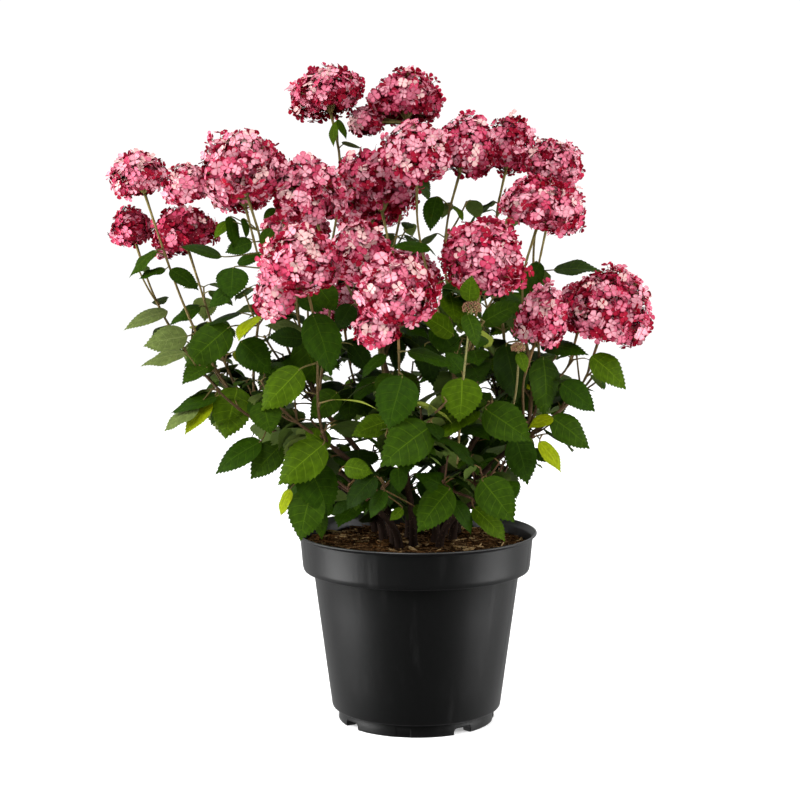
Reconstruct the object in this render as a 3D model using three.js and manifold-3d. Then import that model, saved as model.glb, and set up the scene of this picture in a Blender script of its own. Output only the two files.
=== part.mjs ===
// Hydrangea shrub in a round nursery pot.
//
// Millimetres, +Z up. The origin is the centre of the pot's underside, on the ground, and -Y is
// the plant's front. Woody boughs rise from a flat cut on the potting mix. Each bough ends in a
// leafy mass: one stem that forks into shoots with pairs of leaves. Each flowering shoot carries
// one bloom: a neck with a lumpy dome of florets fused to it.

import * as THREE from "three";
import { mergeVertices } from "three/addons/utils/BufferGeometryUtils.js";
import Module from "manifold-3d";

const wasm = await Module();
wasm.setup();

// ---------------------------------------------------------------- driving dimensions

const TOUCH_GAP = 0.3; // between pieces that meet
const ROUND_SIDES = 32; // of the pot and the potting mix
const SLIVERS = [0.5, 0.35, 0.2, 0.1, 0.05, 0.02]; // a join's slivers under the first safe size are merged

const POT = {
  height: 221,
  lipRadius: 140, lipThickness: 2.8, lipDepth: 4,
  bandTopRadius: 135.5, bandFootRadius: 132.3, bandFootZ: 182,
  stepRadius: 119.8, stepZ: 176,
  wallFootRadius: 98.3, wallFootZ: 15.4, wall: 2.1,
  footRadius: 91, footWidth: 12, footHeight: 15,
  padRadius: 20, floorUnderside: 8, floorTop: 11,
};
const DRAIN = { count: 4, firstAngle: 35, width: 23, height: 7.6, corner: 4, depth: 22 };
const RECESS = { firstAngle: -10, width: 18, height: 9, corner: 3, depth: 1.2 };

const SOIL = { centreZ: 210, flatRadius: 72, edgeZ: 205, roughness: 1.6 };

const BOUGH = { footRadius: 4.6, tipRadius: 3.0, sides: 6, steps: 3, kneeHeight: 0.5 };
const STEM = { length: 16, radius: 2.8, sides: 5, forkAt: 9 };
const SHOOT = { footRadius: 2.3, tipRadius: 1.5, sides: 3, steps: 4, startBend: 0.3, endBend: 0.34 };
const NECK = { length: 26, footRadius: 1.5, tipRadius: 2.1, sides: 3 };
const BLOOM = { lean: 0.32, crownShare: 0.58, lumps: 0.13, fineness: 1, lobeFineness: 1 };

// A leaf's outline and droop. Shares are of the blade's length, and of its width across.
const LEAF = {
  length: 64, width: 0.72, topShrink: 0.44, spread: 0.34, petiole: 0.3, petioleRadius: 0.95,
  thickness: 0.026, shoulder: 0.32, shoulderWidth: 0.49, waist: 0.7, waistWidth: 0.37,
  middle: 0.45, arch: 0.05, tipSag: 0.13, droopLow: 4, droopHigh: 50, roll: 24, rise: 0.5,
  plainUnder: 50, // shorter leaves than this have no corner at the waist
};
const RETRIES = [[0, 1], [38, 1], [-38, 1], [0, 0.72], [62, 0.8], [-62, 0.8]]; // turn in degrees, scale

// Each bough: its foot on the potting mix, its tip, the blooms that its shoots carry (centre,
// width, height, and a smaller lobe beside some) and the tips of its shoots without a bloom.
const BOUGHS = [
  {
    name: "left", foot: [-38, -6], tip: [-150, -6, 330],
    blooms: [
      { at: [-320, 20, 632], size: [69, 58], tint: "bright" },
      { at: [-198, -60, 638], size: [95, 82], tint: "bright", lobe: [-57, 0, -16, 56, 50] },
      { at: [-337, 70, 570], size: [52, 50], tint: "deep" },
      { at: [-274, 50, 567], size: [82, 62], tint: "deep" },
    ],
    leafy: [[-250, -52, 420], [-232, 60, 400]],
  },
  {
    name: "left_back", foot: [-30, 24], tip: [-100, 80, 340],
    blooms: [
      { at: [-107, 104, 731], size: [90, 66], tint: "mid" },
      { at: [-173, 40, 636], size: [60, 76], tint: "deep" },
      { at: [-215, 150, 622], size: [84, 74], tint: "bright" },
      { at: [-150, 205, 566], size: [88, 76], tint: "mid" },
    ],
    leafy: [[-186, 130, 440]],
  },
  {
    name: "front_left", foot: [-26, -30], tip: [-86, -76, 322],
    blooms: [
      { at: [-124, -150, 537], size: [90, 77], tint: "bright", lobe: [-30, 0, -37, 46, 47] },
      { at: [-122, -40, 610], size: [83, 84], tint: "bright" },
    ],
    leafy: [[-158, -120, 390], [-110, -170, 400]],
  },
  {
    name: "front", foot: [-4, -42], tip: [-16, -104, 310],
    blooms: [
      { at: [-61, -92, 543], size: [70, 79], tint: "mid" },
      { at: [-23, -180, 509], size: [88, 82], tint: "bright", lobe: [-21, 0, -38, 50, 42] },
    ],
    leafy: [[-36, -186, 372], [22, -176, 392]],
  },
  {
    name: "middle", foot: [-8, 12], tip: [-34, 44, 400],
    blooms: [
      { at: [-12, 120, 724], size: [94, 67], tint: "mid", lobe: [-48, 0, -24, 46, 38] },
      { at: [-47, 50, 622], size: [102, 88], tint: "deep" },
      { at: [-60, 192, 600], size: [92, 78], tint: "mid" },
    ],
    leafy: [[-92, 120, 520], [26, 118, 500]],
  },
  {
    name: "middle_right", foot: [22, -22], tip: [38, -46, 352],
    blooms: [
      { at: [0, -32, 655], size: [84, 70], tint: "bright" },
      { at: [72, -140, 541], size: [90, 90], tint: "bright" },
      { at: [58, 30, 663], size: [72, 78], tint: "mid" },
    ],
    leafy: [[98, -150, 402], [92, 26, 494]],
  },
  {
    name: "right", foot: [42, -4], tip: [104, -28, 318],
    blooms: [
      { at: [142, -40, 596], size: [98, 67], tint: "mid" },
      { at: [160, 30, 646], size: [72, 58], tint: "bright" },
      { at: [139, -72, 473], size: [60, 78], tint: "bright" },
      { at: [217, -40, 482], size: [99, 94], tint: "bright" },
    ],
    leafy: [[178, -104, 370], [208, 30, 400]],
  },
  {
    name: "right_back", foot: [32, 28], tip: [86, 82, 338],
    blooms: [
      { at: [114, 110, 668], size: [66, 76], tint: "deep" },
      { at: [168, 172, 598], size: [84, 68], tint: "mid" },
      { at: [204, 122, 470], size: [84, 72], tint: "mid" },
      { at: [76, 204, 540], size: [88, 74], tint: "bright" },
    ],
    leafy: [[156, 150, 400]],
  },
  {
    name: "back", foot: [4, 44], tip: [-42, 116, 318],
    blooms: [
      { at: [-8, 236, 506], size: [86, 74], tint: "bright" },
      { at: [-92, 190, 470], size: [76, 66], tint: "mid" },
    ],
    leafy: [[-60, 206, 400], [30, 190, 420]],
  },
  {
    name: "skirt_front_left", foot: [-20, -52], tip: [-50, -82, 262], blooms: [],
    leafy: [[-114, -74, 318], [-86, -112, 308], [-38, -124, 296]],
  },
  {
    name: "skirt_front_right", foot: [26, -50], tip: [56, -78, 262], blooms: [],
    leafy: [[114, -74, 312], [76, -118, 304], [28, -118, 298]],
  },
  {
    name: "skirt_back_right", foot: [48, 42], tip: [88, 72, 260], blooms: [],
    leafy: [[122, 56, 314], [96, 104, 308], [44, 116, 298]],
  },
  {
    name: "skirt_back_left", foot: [-48, 42], tip: [-88, 70, 260], blooms: [],
    leafy: [[-122, 46, 312], [-96, 104, 306], [-50, 118, 300]],
  },
];
const PAIRS = { flowering: 3, leafy: 3, skirt: 2 };

const FINISH = {
  pot: { color: 0x232628, roughness: 0.55 },
  soil: { color: 0x3a281c, roughness: 0.95 },
  bark: { color: 0x6b4a35, roughness: 0.85 },
  leaf: { color: 0x3f6e1f, roughness: 0.6 },
  bright: { color: 0xd2708f, roughness: 0.7 },
  mid: { color: 0xb8456a, roughness: 0.7 },
  deep: { color: 0x8c1c42, roughness: 0.7 },
};

// ---------------------------------------------------------------- small helpers

const UP = new THREE.Vector3(0, 0, 1);
const radians = THREE.MathUtils.degToRad;
const vector = (list) => new THREE.Vector3(...list);
const along = (point, direction, distance) => point.clone().addScaledVector(direction, distance);

// The same number from 0 to 1 for the same seed and salt, whatever was asked for before.
function chance(seed, salt) {
  let mixed = (Math.imul(seed, 374761393) + Math.imul(salt, 668265263)) >>> 0;
  mixed = Math.imul(mixed ^ (mixed >>> 13), 1274126177) >>> 0;
  return ((mixed ^ (mixed >>> 16)) >>> 0) / 4294967296;
}
const between = (low, high, seed, salt) => low + (high - low) * chance(seed, salt);

// A closed three.js geometry as a solid that can be joined, cut and tested.
function toSolid(geometry) {
  const bare = geometry.clone();
  bare.deleteAttribute("normal");
  bare.deleteAttribute("uv");
  const merged = mergeVertices(bare, 1e-3);
  return new wasm.Manifold(new wasm.Mesh({
    numProp: 3,
    vertProperties: new Float32Array(merged.attributes.position.array),
    triVerts: new Uint32Array(merged.index.array),
  }));
}

function toGeometry(solid) {
  const { vertProperties, triVerts } = solid.getMesh();
  const geometry = new THREE.BufferGeometry();
  geometry.setAttribute("position", new THREE.BufferAttribute(vertProperties, 3));
  return geometry.setIndex(new THREE.BufferAttribute(triVerts, 1));
}

// The largest single body of a solid: sealed hollows are filled and loose scraps are dropped.
function mainBody(solid) {
  const bodies = solid.decompose();
  return bodies.reduce((best, body) => (body.volume() > best.volume() ? body : best));
}

// Whether a solid is still one body, with two faces at each edge, once corners that round to the
// same place are one.
function staysClosed(solid) {
  const rounded = toSolid(toGeometry(solid));
  if (rounded.decompose().length !== 1) return false;
  const { vertProperties, triVerts } = rounded.getMesh();
  const places = new Map();
  const corners = Array.from({ length: vertProperties.length / 3 }, (_, i) => {
    const place = Array.from(vertProperties.subarray(3 * i, 3 * i + 3), (v) => Math.round(v * 1e4)).join();
    if (!places.has(place)) places.set(place, places.size);
    return places.get(place);
  });
  const uses = new Map();
  for (let i = 0; i < triVerts.length; i += 3) {
    const face = [0, 1, 2].map((k) => corners[triVerts[i + k]]);
    if (new Set(face).size < 3) continue;
    face.forEach((from, k) => {
      const to = face[(k + 1) % 3];
      const edge = `${Math.min(from, to)},${Math.max(from, to)}`;
      uses.set(edge, (uses.get(edge) ?? 0) + 1);
    });
  }
  return [...uses.values()].every((count) => count === 2);
}

// A joined solid with its slivers merged away, by the largest tolerance that leaves it closed.
function withoutSlivers(solid) {
  const whole = mainBody(solid);
  const merged = SLIVERS.map((size) => mainBody(whole.asOriginal().simplify(size)));
  return merged.find(staysClosed) ?? whole;
}

function toMesh(name, solid, finish) {
  const material = new THREE.MeshStandardMaterial({ ...finish, metalness: 0 });
  const mesh = new THREE.Mesh(toGeometry(solid), material);
  mesh.name = name;
  return mesh;
}

// A closed cylinder bent along a curve: its height follows the curve and its radius tapers.
function taperedLimb(curve, footRadius, tipRadius, sides, steps) {
  const geometry = new THREE.CylinderGeometry(tipRadius, footRadius, 1, sides, steps);
  const frames = curve.computeFrenetFrames(steps, false);
  const { position } = geometry.attributes;
  for (let i = 0; i < position.count; i += 1) {
    const step = Math.round((position.getY(i) + 0.5) * steps);
    const point = curve.getPointAt(step / steps)
      .addScaledVector(frames.normals[step], position.getX(i))
      .addScaledVector(frames.binormals[step], -position.getZ(i));
    position.setXYZ(i, point.x, point.y, point.z);
  }
  return toSolid(geometry);
}

// The centre of a tapered limb at a share of its length: it runs straight from step to step.
function limbCentre(curve, steps, share) {
  const step = Math.min(Math.floor(share * steps), steps - 1);
  return curve.getPointAt(step / steps).lerp(curve.getPointAt((step + 1) / steps), share * steps - step);
}

// ---------------------------------------------------------------- pot and potting mix

// A profile of [radius, height] points, carried round the Z axis.
function turned(profile) {
  const points = profile.map(([radius, height]) => new THREE.Vector2(radius, height));
  return new THREE.LatheGeometry(points, ROUND_SIDES).rotateX(Math.PI / 2);
}

// A low arch with rounded top corners, standing on Z = -1 and extruded outwards along a radius.
function radialCutter(angle, innerRadius, { width, height, corner, depth }) {
  const half = width / 2;
  const arch = new THREE.Shape();
  arch.moveTo(-half, -1).lineTo(half, -1).lineTo(half, height - corner);
  arch.absarc(half - corner, height - corner, corner, 0, Math.PI / 2, false);
  arch.absarc(corner - half, height - corner, corner, Math.PI / 2, Math.PI, false);
  arch.closePath();
  const geometry = new THREE.ExtrudeGeometry(arch, { depth, bevelEnabled: false, curveSegments: 2 });
  // The shape's up turns to +Z and its depth to -Y, the front; then it turns to its own angle.
  geometry.rotateX(Math.PI / 2).translate(0, -innerRadius, 0).rotateZ(radians(angle));
  return toSolid(geometry);
}

const potInner = {
  footRadius: POT.wallFootRadius - POT.wall, footZ: POT.wallFootZ + POT.wall,
  stepRadius: POT.stepRadius - POT.wall, stepZ: POT.stepZ + POT.wall,
  bandFootZ: POT.bandFootZ + 0.6,
  bandFootRadius: POT.bandFootRadius - POT.wall, bandTopRadius: POT.bandTopRadius - POT.wall,
  bandTopZ: POT.height - POT.lipDepth - POT.wall, wellRadius: POT.footRadius - POT.wall,
};

function makePot() {
  const inner = potInner;
  let pot = toSolid(turned([
    [0, 0], [POT.padRadius, 0], [POT.padRadius, POT.floorUnderside],
    [POT.footRadius - POT.footWidth, POT.floorUnderside], [POT.footRadius - POT.footWidth, 0],
    [POT.footRadius, 0], [POT.footRadius, POT.footHeight], [POT.wallFootRadius, POT.wallFootZ],
    [POT.stepRadius, POT.stepZ], [POT.bandFootRadius - 1.6, POT.stepZ + 1.6],
    [POT.bandFootRadius, POT.bandFootZ], [POT.bandTopRadius, POT.height - POT.lipDepth],
    [POT.lipRadius, POT.height - POT.lipDepth / 2], [POT.lipRadius, POT.height],
    [POT.lipRadius - POT.lipThickness, POT.height],
    [inner.bandTopRadius, inner.bandTopZ], [inner.bandFootRadius, inner.bandFootZ],
    [inner.stepRadius, inner.stepZ], [inner.footRadius, inner.footZ],
    [inner.wellRadius, inner.footZ],
    [inner.wellRadius, POT.floorTop], [0, POT.floorTop],
  ]));
  for (let i = 0; i < DRAIN.count; i += 1) {
    const turn = (i * 360) / DRAIN.count;
    pot = pot.subtract(radialCutter(DRAIN.firstAngle + turn, POT.footRadius - DRAIN.depth + 4, DRAIN));
    pot = pot.subtract(radialCutter(RECESS.firstAngle + turn, POT.footRadius - RECESS.depth,
      { ...RECESS, depth: RECESS.depth + 2 }));
  }
  return mainBody(pot);
}

// The potting mix fills the pot. Its top is flat where the boughs stand and uneven around them.
function makeSoil() {
  const inner = potInner;
  const gap = TOUCH_GAP * 1.4;
  const rise = (SOIL.edgeZ - inner.bandFootZ) / (inner.bandTopZ - inner.bandFootZ);
  const edgeRadius = THREE.MathUtils.lerp(inner.bandFootRadius, inner.bandTopRadius, rise) - gap;
  const geometry = turned([
    [0, inner.footZ + gap], [inner.footRadius - gap, inner.footZ + gap],
    [inner.stepRadius - gap, inner.stepZ + gap],
    [inner.bandFootRadius - gap, inner.bandFootZ + gap], [edgeRadius, SOIL.edgeZ],
    [edgeRadius - 16, SOIL.edgeZ + 2.2], [edgeRadius - 36, SOIL.centreZ - 1.4],
    [SOIL.flatRadius, SOIL.centreZ], [0, SOIL.centreZ],
  ]);
  const merged = mergeVertices(geometry.deleteAttribute("normal").deleteAttribute("uv"), 1e-3);
  const { position } = merged.attributes;
  for (let i = 0; i < position.count; i += 1) {
    const radius = Math.hypot(position.getX(i), position.getY(i));
    const isRough = position.getZ(i) > SOIL.edgeZ + 1 && radius > SOIL.flatRadius + 2;
    if (isRough) {
      position.setZ(i, position.getZ(i) + between(-SOIL.roughness, SOIL.roughness, i, 7));
    }
  }
  return toSolid(merged);
}

// ---------------------------------------------------------------- limbs

// A bough leaves the mix upright and leans to its tip.
function boughCurve({ foot, tip }) {
  const start = new THREE.Vector3(foot[0], foot[1], SOIL.centreZ + TOUCH_GAP);
  const end = vector(tip);
  const knee = along(start, UP, (end.z - start.z) * BOUGH.kneeHeight);
  return new THREE.QuadraticBezierCurve3(start, knee, end);
}

// A bloom's axis leans outwards a little. The dome's widest ring lies a little under its middle,
// and its neck starts below the dome, on that axis.
function bloomFrame({ at: [x, y, z], size: [, height] }) {
  const axis = new THREE.Vector3(x, y, 0).normalize().multiplyScalar(BLOOM.lean).add(UP).normalize();
  const middle = new THREE.Vector3(x, y, z);
  return {
    axis,
    centre: along(middle, axis, height * (0.5 - BLOOM.crownShare)),
    neckStart: along(middle, axis, -height / 2 - NECK.length),
  };
}

// A shoot leaves the fork in the bough's direction and turns to its own end direction.
function shootCurve(fork, forkDirection, end, endDirection) {
  const reach = fork.distanceTo(end);
  return new THREE.CubicBezierCurve3(
    fork,
    along(fork, forkDirection, reach * SHOOT.startBend),
    along(end, endDirection, -reach * SHOOT.endBend),
    end,
  );
}

// ---------------------------------------------------------------- blooms

// A ball of florets squashed to a dome: each corner moves in or out by its own chance.
function lumpyDome(centre, axis, width, height, fineness, seed) {
  const ball = new THREE.IcosahedronGeometry(1, fineness);
  const merged = mergeVertices(ball.deleteAttribute("normal").deleteAttribute("uv"), 1e-4);
  const { position } = merged.attributes;
  const turn = new THREE.Quaternion().setFromUnitVectors(UP, axis);
  const corner = new THREE.Vector3();
  for (let i = 0; i < position.count; i += 1) {
    corner.fromBufferAttribute(position, i);
    const share = corner.z > 0 ? BLOOM.crownShare : 1 - BLOOM.crownShare;
    corner.multiplyScalar(1 - BLOOM.lumps * chance(seed, i + 1));
    corner.set(corner.x * width / 2, corner.y * width / 2, corner.z * height * share);
    corner.applyQuaternion(turn).add(centre);
    position.setXYZ(i, corner.x, corner.y, corner.z);
  }
  return toSolid(merged);
}

function makeBloom(bloom, seed) {
  const { centre, axis, neckStart } = bloomFrame(bloom);
  const neckCurve = new THREE.LineCurve3(neckStart, centre);
  let solid = taperedLimb(neckCurve, NECK.footRadius, NECK.tipRadius, NECK.sides, 1)
    .add(lumpyDome(centre, axis, bloom.size[0], bloom.size[1], BLOOM.fineness, seed));
  if (bloom.lobe) {
    const [x, y, z, width, height] = bloom.lobe;
    const lobeCentre = centre.clone().add(new THREE.Vector3(x, y, z));
    solid = solid.add(lumpyDome(lobeCentre, axis, width, height, BLOOM.lobeFineness, seed + 500));
  }
  return mainBody(solid);
}

// ---------------------------------------------------------------- leaves

// Where one leaf sits and how it hangs: side 0 and 1 face each other, and each pair is turned
// a quarter turn from the pair below.
function leafPlan(shoot, pair, side, turn, scale) {
  const seed = shoot.seed * 64 + pair * 2 + side;
  const last = Math.max(shoot.pairs - 1, 1);
  const place = THREE.MathUtils.clamp(
    (pair + 0.62 + between(-0.18, 0.18, shoot.seed, pair + 40)) / shoot.pairs, 0.06, 0.97,
  );
  const root = limbCentre(shoot.curve, SHOOT.steps, place);
  const tangent = shoot.curve.getTangentAt(place);
  const across = new THREE.Vector3().crossVectors(tangent, UP).normalize();
  const ahead = new THREE.Vector3().crossVectors(across, tangent).normalize();
  const angle = shoot.phase + pair * Math.PI / 2 + side * Math.PI
    + between(-0.4, 0.4, seed, 1) + radians(turn);
  const outward = across.multiplyScalar(Math.cos(angle)).addScaledVector(ahead, Math.sin(angle));
  outward.z *= 0.35;
  outward.normalize();
  const heading = new THREE.Vector3(outward.x, outward.y, 0).normalize();
  const droop = radians(between(LEAF.droopLow, LEAF.droopHigh, seed, 2));
  const size = shoot.leafScale * (1 - LEAF.topShrink * (pair / last) ** 1.4)
    * between(1 - LEAF.spread / 2, 1 + LEAF.spread / 2, seed, 3) * scale;
  const length = LEAF.length * size;
  const blade = heading.clone().multiplyScalar(Math.cos(droop)).addScaledVector(UP, -Math.sin(droop));
  const roll = radians(between(-LEAF.roll, LEAF.roll, seed, 4));
  const wide = new THREE.Vector3().crossVectors(UP, heading).applyAxisAngle(blade, roll);
  const face = new THREE.Vector3().crossVectors(blade, wide);
  const petiole = outward.clone().addScaledVector(tangent, LEAF.rise).normalize();
  return {
    root, petiole, blade, wide, face, length,
    width: length * LEAF.width * between(0.88, 1.12, seed, 5),
    base: along(root, petiole, length * LEAF.petiole),
  };
}

// A leaf as one closed solid: a three-sided petiole that opens into an ovate blade, folded along
// its midrib, with its tip hanging. Both sides of the blade are fans from the middle.
function leafSolid(plan, { thickness = LEAF.thickness, grow = 1, withPetiole = true } = {}) {
  const { root, petiole, blade, wide, face, length, width, base } = plan;
  const spot = (forward, sideways, lift) => along(base, blade, forward * length * grow)
    .addScaledVector(wide, sideways * width * grow).addScaledVector(face, lift * length);
  const ringAt = (point, lateral, normal) => [
    along(point, lateral, LEAF.petioleRadius),
    along(point, lateral, -LEAF.petioleRadius),
    along(point, normal, -LEAF.petioleRadius),
  ];
  const start = withPetiole ? root : along(base, petiole, -1);
  const petioleFace = new THREE.Vector3().crossVectors(petiole, wide).normalize();
  const corners = [
    ...ringAt(start, wide, petioleFace),
    ...ringAt(base, wide, face),
    spot(LEAF.shoulder, LEAF.shoulderWidth, 0), spot(LEAF.waist, LEAF.waistWidth, -0.03),
    spot(1, 0, -LEAF.tipSag),
    spot(LEAF.waist, -LEAF.waistWidth, -0.03), spot(LEAF.shoulder, -LEAF.shoulderWidth, 0),
    spot(LEAF.middle, 0, LEAF.arch + thickness / 2), spot(LEAF.middle, 0, LEAF.arch - thickness / 2),
  ];
  const [top, under] = [11, 12];
  const outline = length < LEAF.plainUnder ? [8, 6, 3, 4, 10] : [8, 7, 6, 3, 4, 10, 9];
  const faces = [[3, 0, 1], [3, 1, 4], [0, 3, 5], [0, 5, 2], [4, 1, 2], [4, 2, 5], [1, 0, 2]];
  outline.forEach((corner, i) => {
    const next = outline[(i + 1) % outline.length];
    faces.push([top, corner, next]);
    if (corner === 3) faces.push([under, 4, 5], [under, 5, 3]);
    else faces.push([under, next, corner]);
  });
  const geometry = new THREE.BufferGeometry().setFromPoints(corners);
  geometry.setIndex(faces.flat());
  return toSolid(geometry);
}

// ---------------------------------------------------------------- the crown

const toBox = (solid) => {
  const { min, max } = solid.boundingBox();
  return new THREE.Box3(vector(min), vector(max));
};
const placed = []; // every solid so far, with its box and the node that owns it
const keep = (owner, solid) => placed.push({ owner, solid, box: toBox(solid) });
const meets = (solid, isRelevant) => {
  const box = toBox(solid);
  return placed.some((other) => isRelevant(other) && box.intersectsBox(other.box)
    && solid.intersect(other.solid).volume() > 1e-3);
};

// All the shoots of one bough's mass, from its fork, with the numbers that their leaves need.
function massShoots(bough, boughIndex) {
  const curve = boughCurve(bough);
  const direction = curve.getTangentAt(1);
  const fork = along(curve.getPointAt(1), direction, STEM.forkAt);
  const isSkirt = bough.blooms.length === 0;
  const blooming = bough.blooms.map((bloom) => {
    const { axis, neckStart } = bloomFrame(bloom);
    return { end: along(neckStart, axis, -TOUCH_GAP), axis, pairs: PAIRS.flowering, leafScale: 1 };
  });
  const leafy = bough.leafy.map((tip) => {
    const end = vector(tip);
    const axis = new THREE.Vector3(end.x, end.y, 0).normalize().multiplyScalar(0.7).add(UP).normalize();
    const pairs = isSkirt ? PAIRS.skirt : PAIRS.leafy;
    return { end, axis, pairs, leafScale: isSkirt ? 1.16 : 1.06 };
  });
  return [...blooming, ...leafy].map((shoot, i) => {
    const seed = (boughIndex + 1) * 16 + i;
    return {
      ...shoot, seed, phase: between(0, Math.PI, seed, 11),
      curve: shootCurve(fork, direction, shoot.end, shoot.axis),
    };
  });
}

function massStem(bough) {
  const curve = boughCurve(bough);
  const direction = curve.getTangentAt(1);
  const start = along(curve.getPointAt(1), direction, TOUCH_GAP);
  const line = new THREE.LineCurve3(start, along(start, direction, STEM.length));
  return taperedLimb(line, STEM.radius, SHOOT.footRadius, STEM.sides, 1);
}

// Leaves are tried in order, turned or shortened where they would touch something, and left out
// where nothing fits.
function growLeaves(shoots, owner) {
  const leaves = [];
  for (const shoot of shoots) {
    for (let pair = 0; pair < shoot.pairs; pair += 1) {
      for (const side of [0, 1]) {
        for (const [turn, scale] of RETRIES) {
          const plan = leafPlan(shoot, pair, side, turn, scale);
          const probe = leafSolid(plan, { thickness: LEAF.thickness * 1.6, grow: 1.04 });
          const blade = leafSolid(plan, { thickness: 0.05, grow: 1.04, withPetiole: false });
          const isBlocked = meets(probe, (other) => other.owner !== owner)
            || meets(blade, (other) => other.owner === owner);
          if (!isBlocked) {
            const leaf = leafSolid(plan);
            leaves.push(leaf);
            keep(owner, leaf);
            break;
          }
        }
      }
    }
  }
  return leaves;
}

// ---------------------------------------------------------------- assembly

const group = new THREE.Group();
const pot = makePot();
const soil = makeSoil();
keep("pot", pot);
keep("soil", soil);
group.add(toMesh("pot", pot, FINISH.pot), toMesh("soil", soil, FINISH.soil));

const masses = BOUGHS.map((bough, index) => {
  const limb = taperedLimb(
    boughCurve(bough), BOUGH.footRadius, BOUGH.tipRadius, BOUGH.sides, BOUGH.steps,
  );
  keep(`bough_${bough.name}`, limb);
  group.add(toMesh(`bough_${bough.name}`, limb, FINISH.bark));
  const owner = `leaves_${bough.name}`;
  const shoots = massShoots(bough, index);
  const limbs = shoots.map((shoot) => taperedLimb(
    shoot.curve, SHOOT.footRadius, SHOOT.tipRadius, SHOOT.sides, SHOOT.steps,
  ));
  limbs.push(massStem(bough));
  limbs.forEach((solid) => keep(owner, solid));
  bough.blooms.forEach((bloom, i) => {
    const name = `bloom_${bough.name}_${i + 1}`;
    const solid = makeBloom(bloom, (index + 1) * 16 + i);
    keep(name, solid);
    group.add(toMesh(name, solid, FINISH[bloom.tint]));
  });
  return { owner, shoots, limbs };
});

for (const { owner, shoots, limbs } of masses) {
  const leaves = growLeaves(shoots, owner);
  const solid = withoutSlivers(wasm.Manifold.union([...limbs, ...leaves]));
  group.add(toMesh(owner, solid, FINISH.leaf));
}

export default group;
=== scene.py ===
"""Hydrangea shrub in a round nursery pot, dressed over its construction frame.

The frame is in metres, +Z up, with the plant's front towards -Y and the origin in the middle of the
pot's underside. The crown grows here by the rule of the part's own source, from the same named sizes
in millimetres, and is carried on to toothed leaves, side twigs, florets and their rays. Meshes are
worked out in millimetres and scaled when a piece is made.
"""

import logging
import math
from collections.abc import Sequence
from dataclasses import dataclass, field
from enum import Enum

import bpy
import numpy as np
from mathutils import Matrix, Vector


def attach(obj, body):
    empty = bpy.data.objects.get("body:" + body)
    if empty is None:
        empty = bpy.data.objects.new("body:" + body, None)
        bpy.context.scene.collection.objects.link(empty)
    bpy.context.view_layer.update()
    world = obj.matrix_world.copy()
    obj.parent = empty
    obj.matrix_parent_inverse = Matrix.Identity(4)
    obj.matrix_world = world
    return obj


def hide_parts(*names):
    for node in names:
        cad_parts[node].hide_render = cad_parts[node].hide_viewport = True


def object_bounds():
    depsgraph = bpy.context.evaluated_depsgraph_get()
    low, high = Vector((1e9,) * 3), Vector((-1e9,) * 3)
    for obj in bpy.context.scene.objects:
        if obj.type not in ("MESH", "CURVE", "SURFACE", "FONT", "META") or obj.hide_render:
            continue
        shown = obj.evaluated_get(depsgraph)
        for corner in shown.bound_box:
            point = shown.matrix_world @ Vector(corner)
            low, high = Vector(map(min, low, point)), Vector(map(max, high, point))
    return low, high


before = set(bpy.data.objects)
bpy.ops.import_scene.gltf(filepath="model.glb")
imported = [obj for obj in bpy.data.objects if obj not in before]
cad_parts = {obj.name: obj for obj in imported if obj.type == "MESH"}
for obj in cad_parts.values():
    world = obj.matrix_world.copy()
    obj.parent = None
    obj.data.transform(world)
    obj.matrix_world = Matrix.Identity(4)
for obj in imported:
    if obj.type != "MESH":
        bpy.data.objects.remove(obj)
CAD_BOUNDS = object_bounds()

Array = np.ndarray
Colour = tuple[float, float, float]
Point = tuple[float, float, float]

LOG = logging.getLogger("hydrangea")
MM = 0.001
UP = np.array([0.0, 0.0, 1.0])
GOLDEN_ANGLE = math.pi * (3 - math.sqrt(5))
OBLIQUE = np.array([0.21, 0.34, 0.92])  # a direction that no floret faces exactly
ACROSS = np.array([0.36, 0.48, 0.8])  # a direction that no line runs along exactly
MAP_NAME = "OFBake"

# The factors, the mask and the largest prime that fit the 32 bits in which chances are mixed.
SEED_FACTOR, SALT_FACTOR, MIX_FACTOR = np.array([374761393, 668265263, 1274126177], dtype=np.uint64)
LOW_BITS = np.uint64(0xFFFFFFFF)
LOW_PRIME = 4294967291
LATTICE_FACTORS = np.array([73856093, 19349663, 83492791])
LATTICE_START = 4096


class Slot(Enum):
    """The record's material slots."""

    POT = "pot_plastic"
    MIX = "potting_mix"
    BARK = "bark"
    FOLIAGE = "foliage"
    BLOSSOM = "blossom"


class Tone(Enum):
    """How far a flower head has aged from pale pink to dull crimson."""

    BRIGHT = "bright"
    MID = "mid"
    DEEP = "deep"


# ---------------------------------------------------------------- arrays and chances


def unit(vectors: Array) -> Array:
    """Scale vectors to length one."""
    return vectors / np.maximum(np.linalg.norm(vectors, axis=-1, keepdims=True), 1e-12)


def chance(seed: Array | int, salt: Array | int) -> Array:
    """Give the same number from 0 to 1 for the same seed and salt.

    The seed and the salt are each multiplied by a large odd number and added, then shifted onto
    themselves, multiplied once more and shifted again, all within 32 bits.

    Args:
        seed: whole number or numbers from 0.
        salt: whole number or numbers from 0 that keep one use apart from another.

    Returns:
        An array of numbers from 0 up to 1.
    """
    seeds, salts = (np.atleast_1d(np.asarray(part, dtype=np.uint64)) for part in (seed, salt))
    mixed = (seeds * SEED_FACTOR + salts * SALT_FACTOR) & LOW_BITS
    mixed = ((mixed ^ (mixed >> np.uint64(13))) * MIX_FACTOR) & LOW_BITS
    return ((mixed ^ (mixed >> np.uint64(16))) & LOW_BITS) / 2.0 ** 32


def between(low: float, high: float, seed: Array | int, salt: Array | int) -> Array:
    """Give the chance of this seed and salt as a number from low to high."""
    return low + (high - low) * chance(seed, salt)


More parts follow.
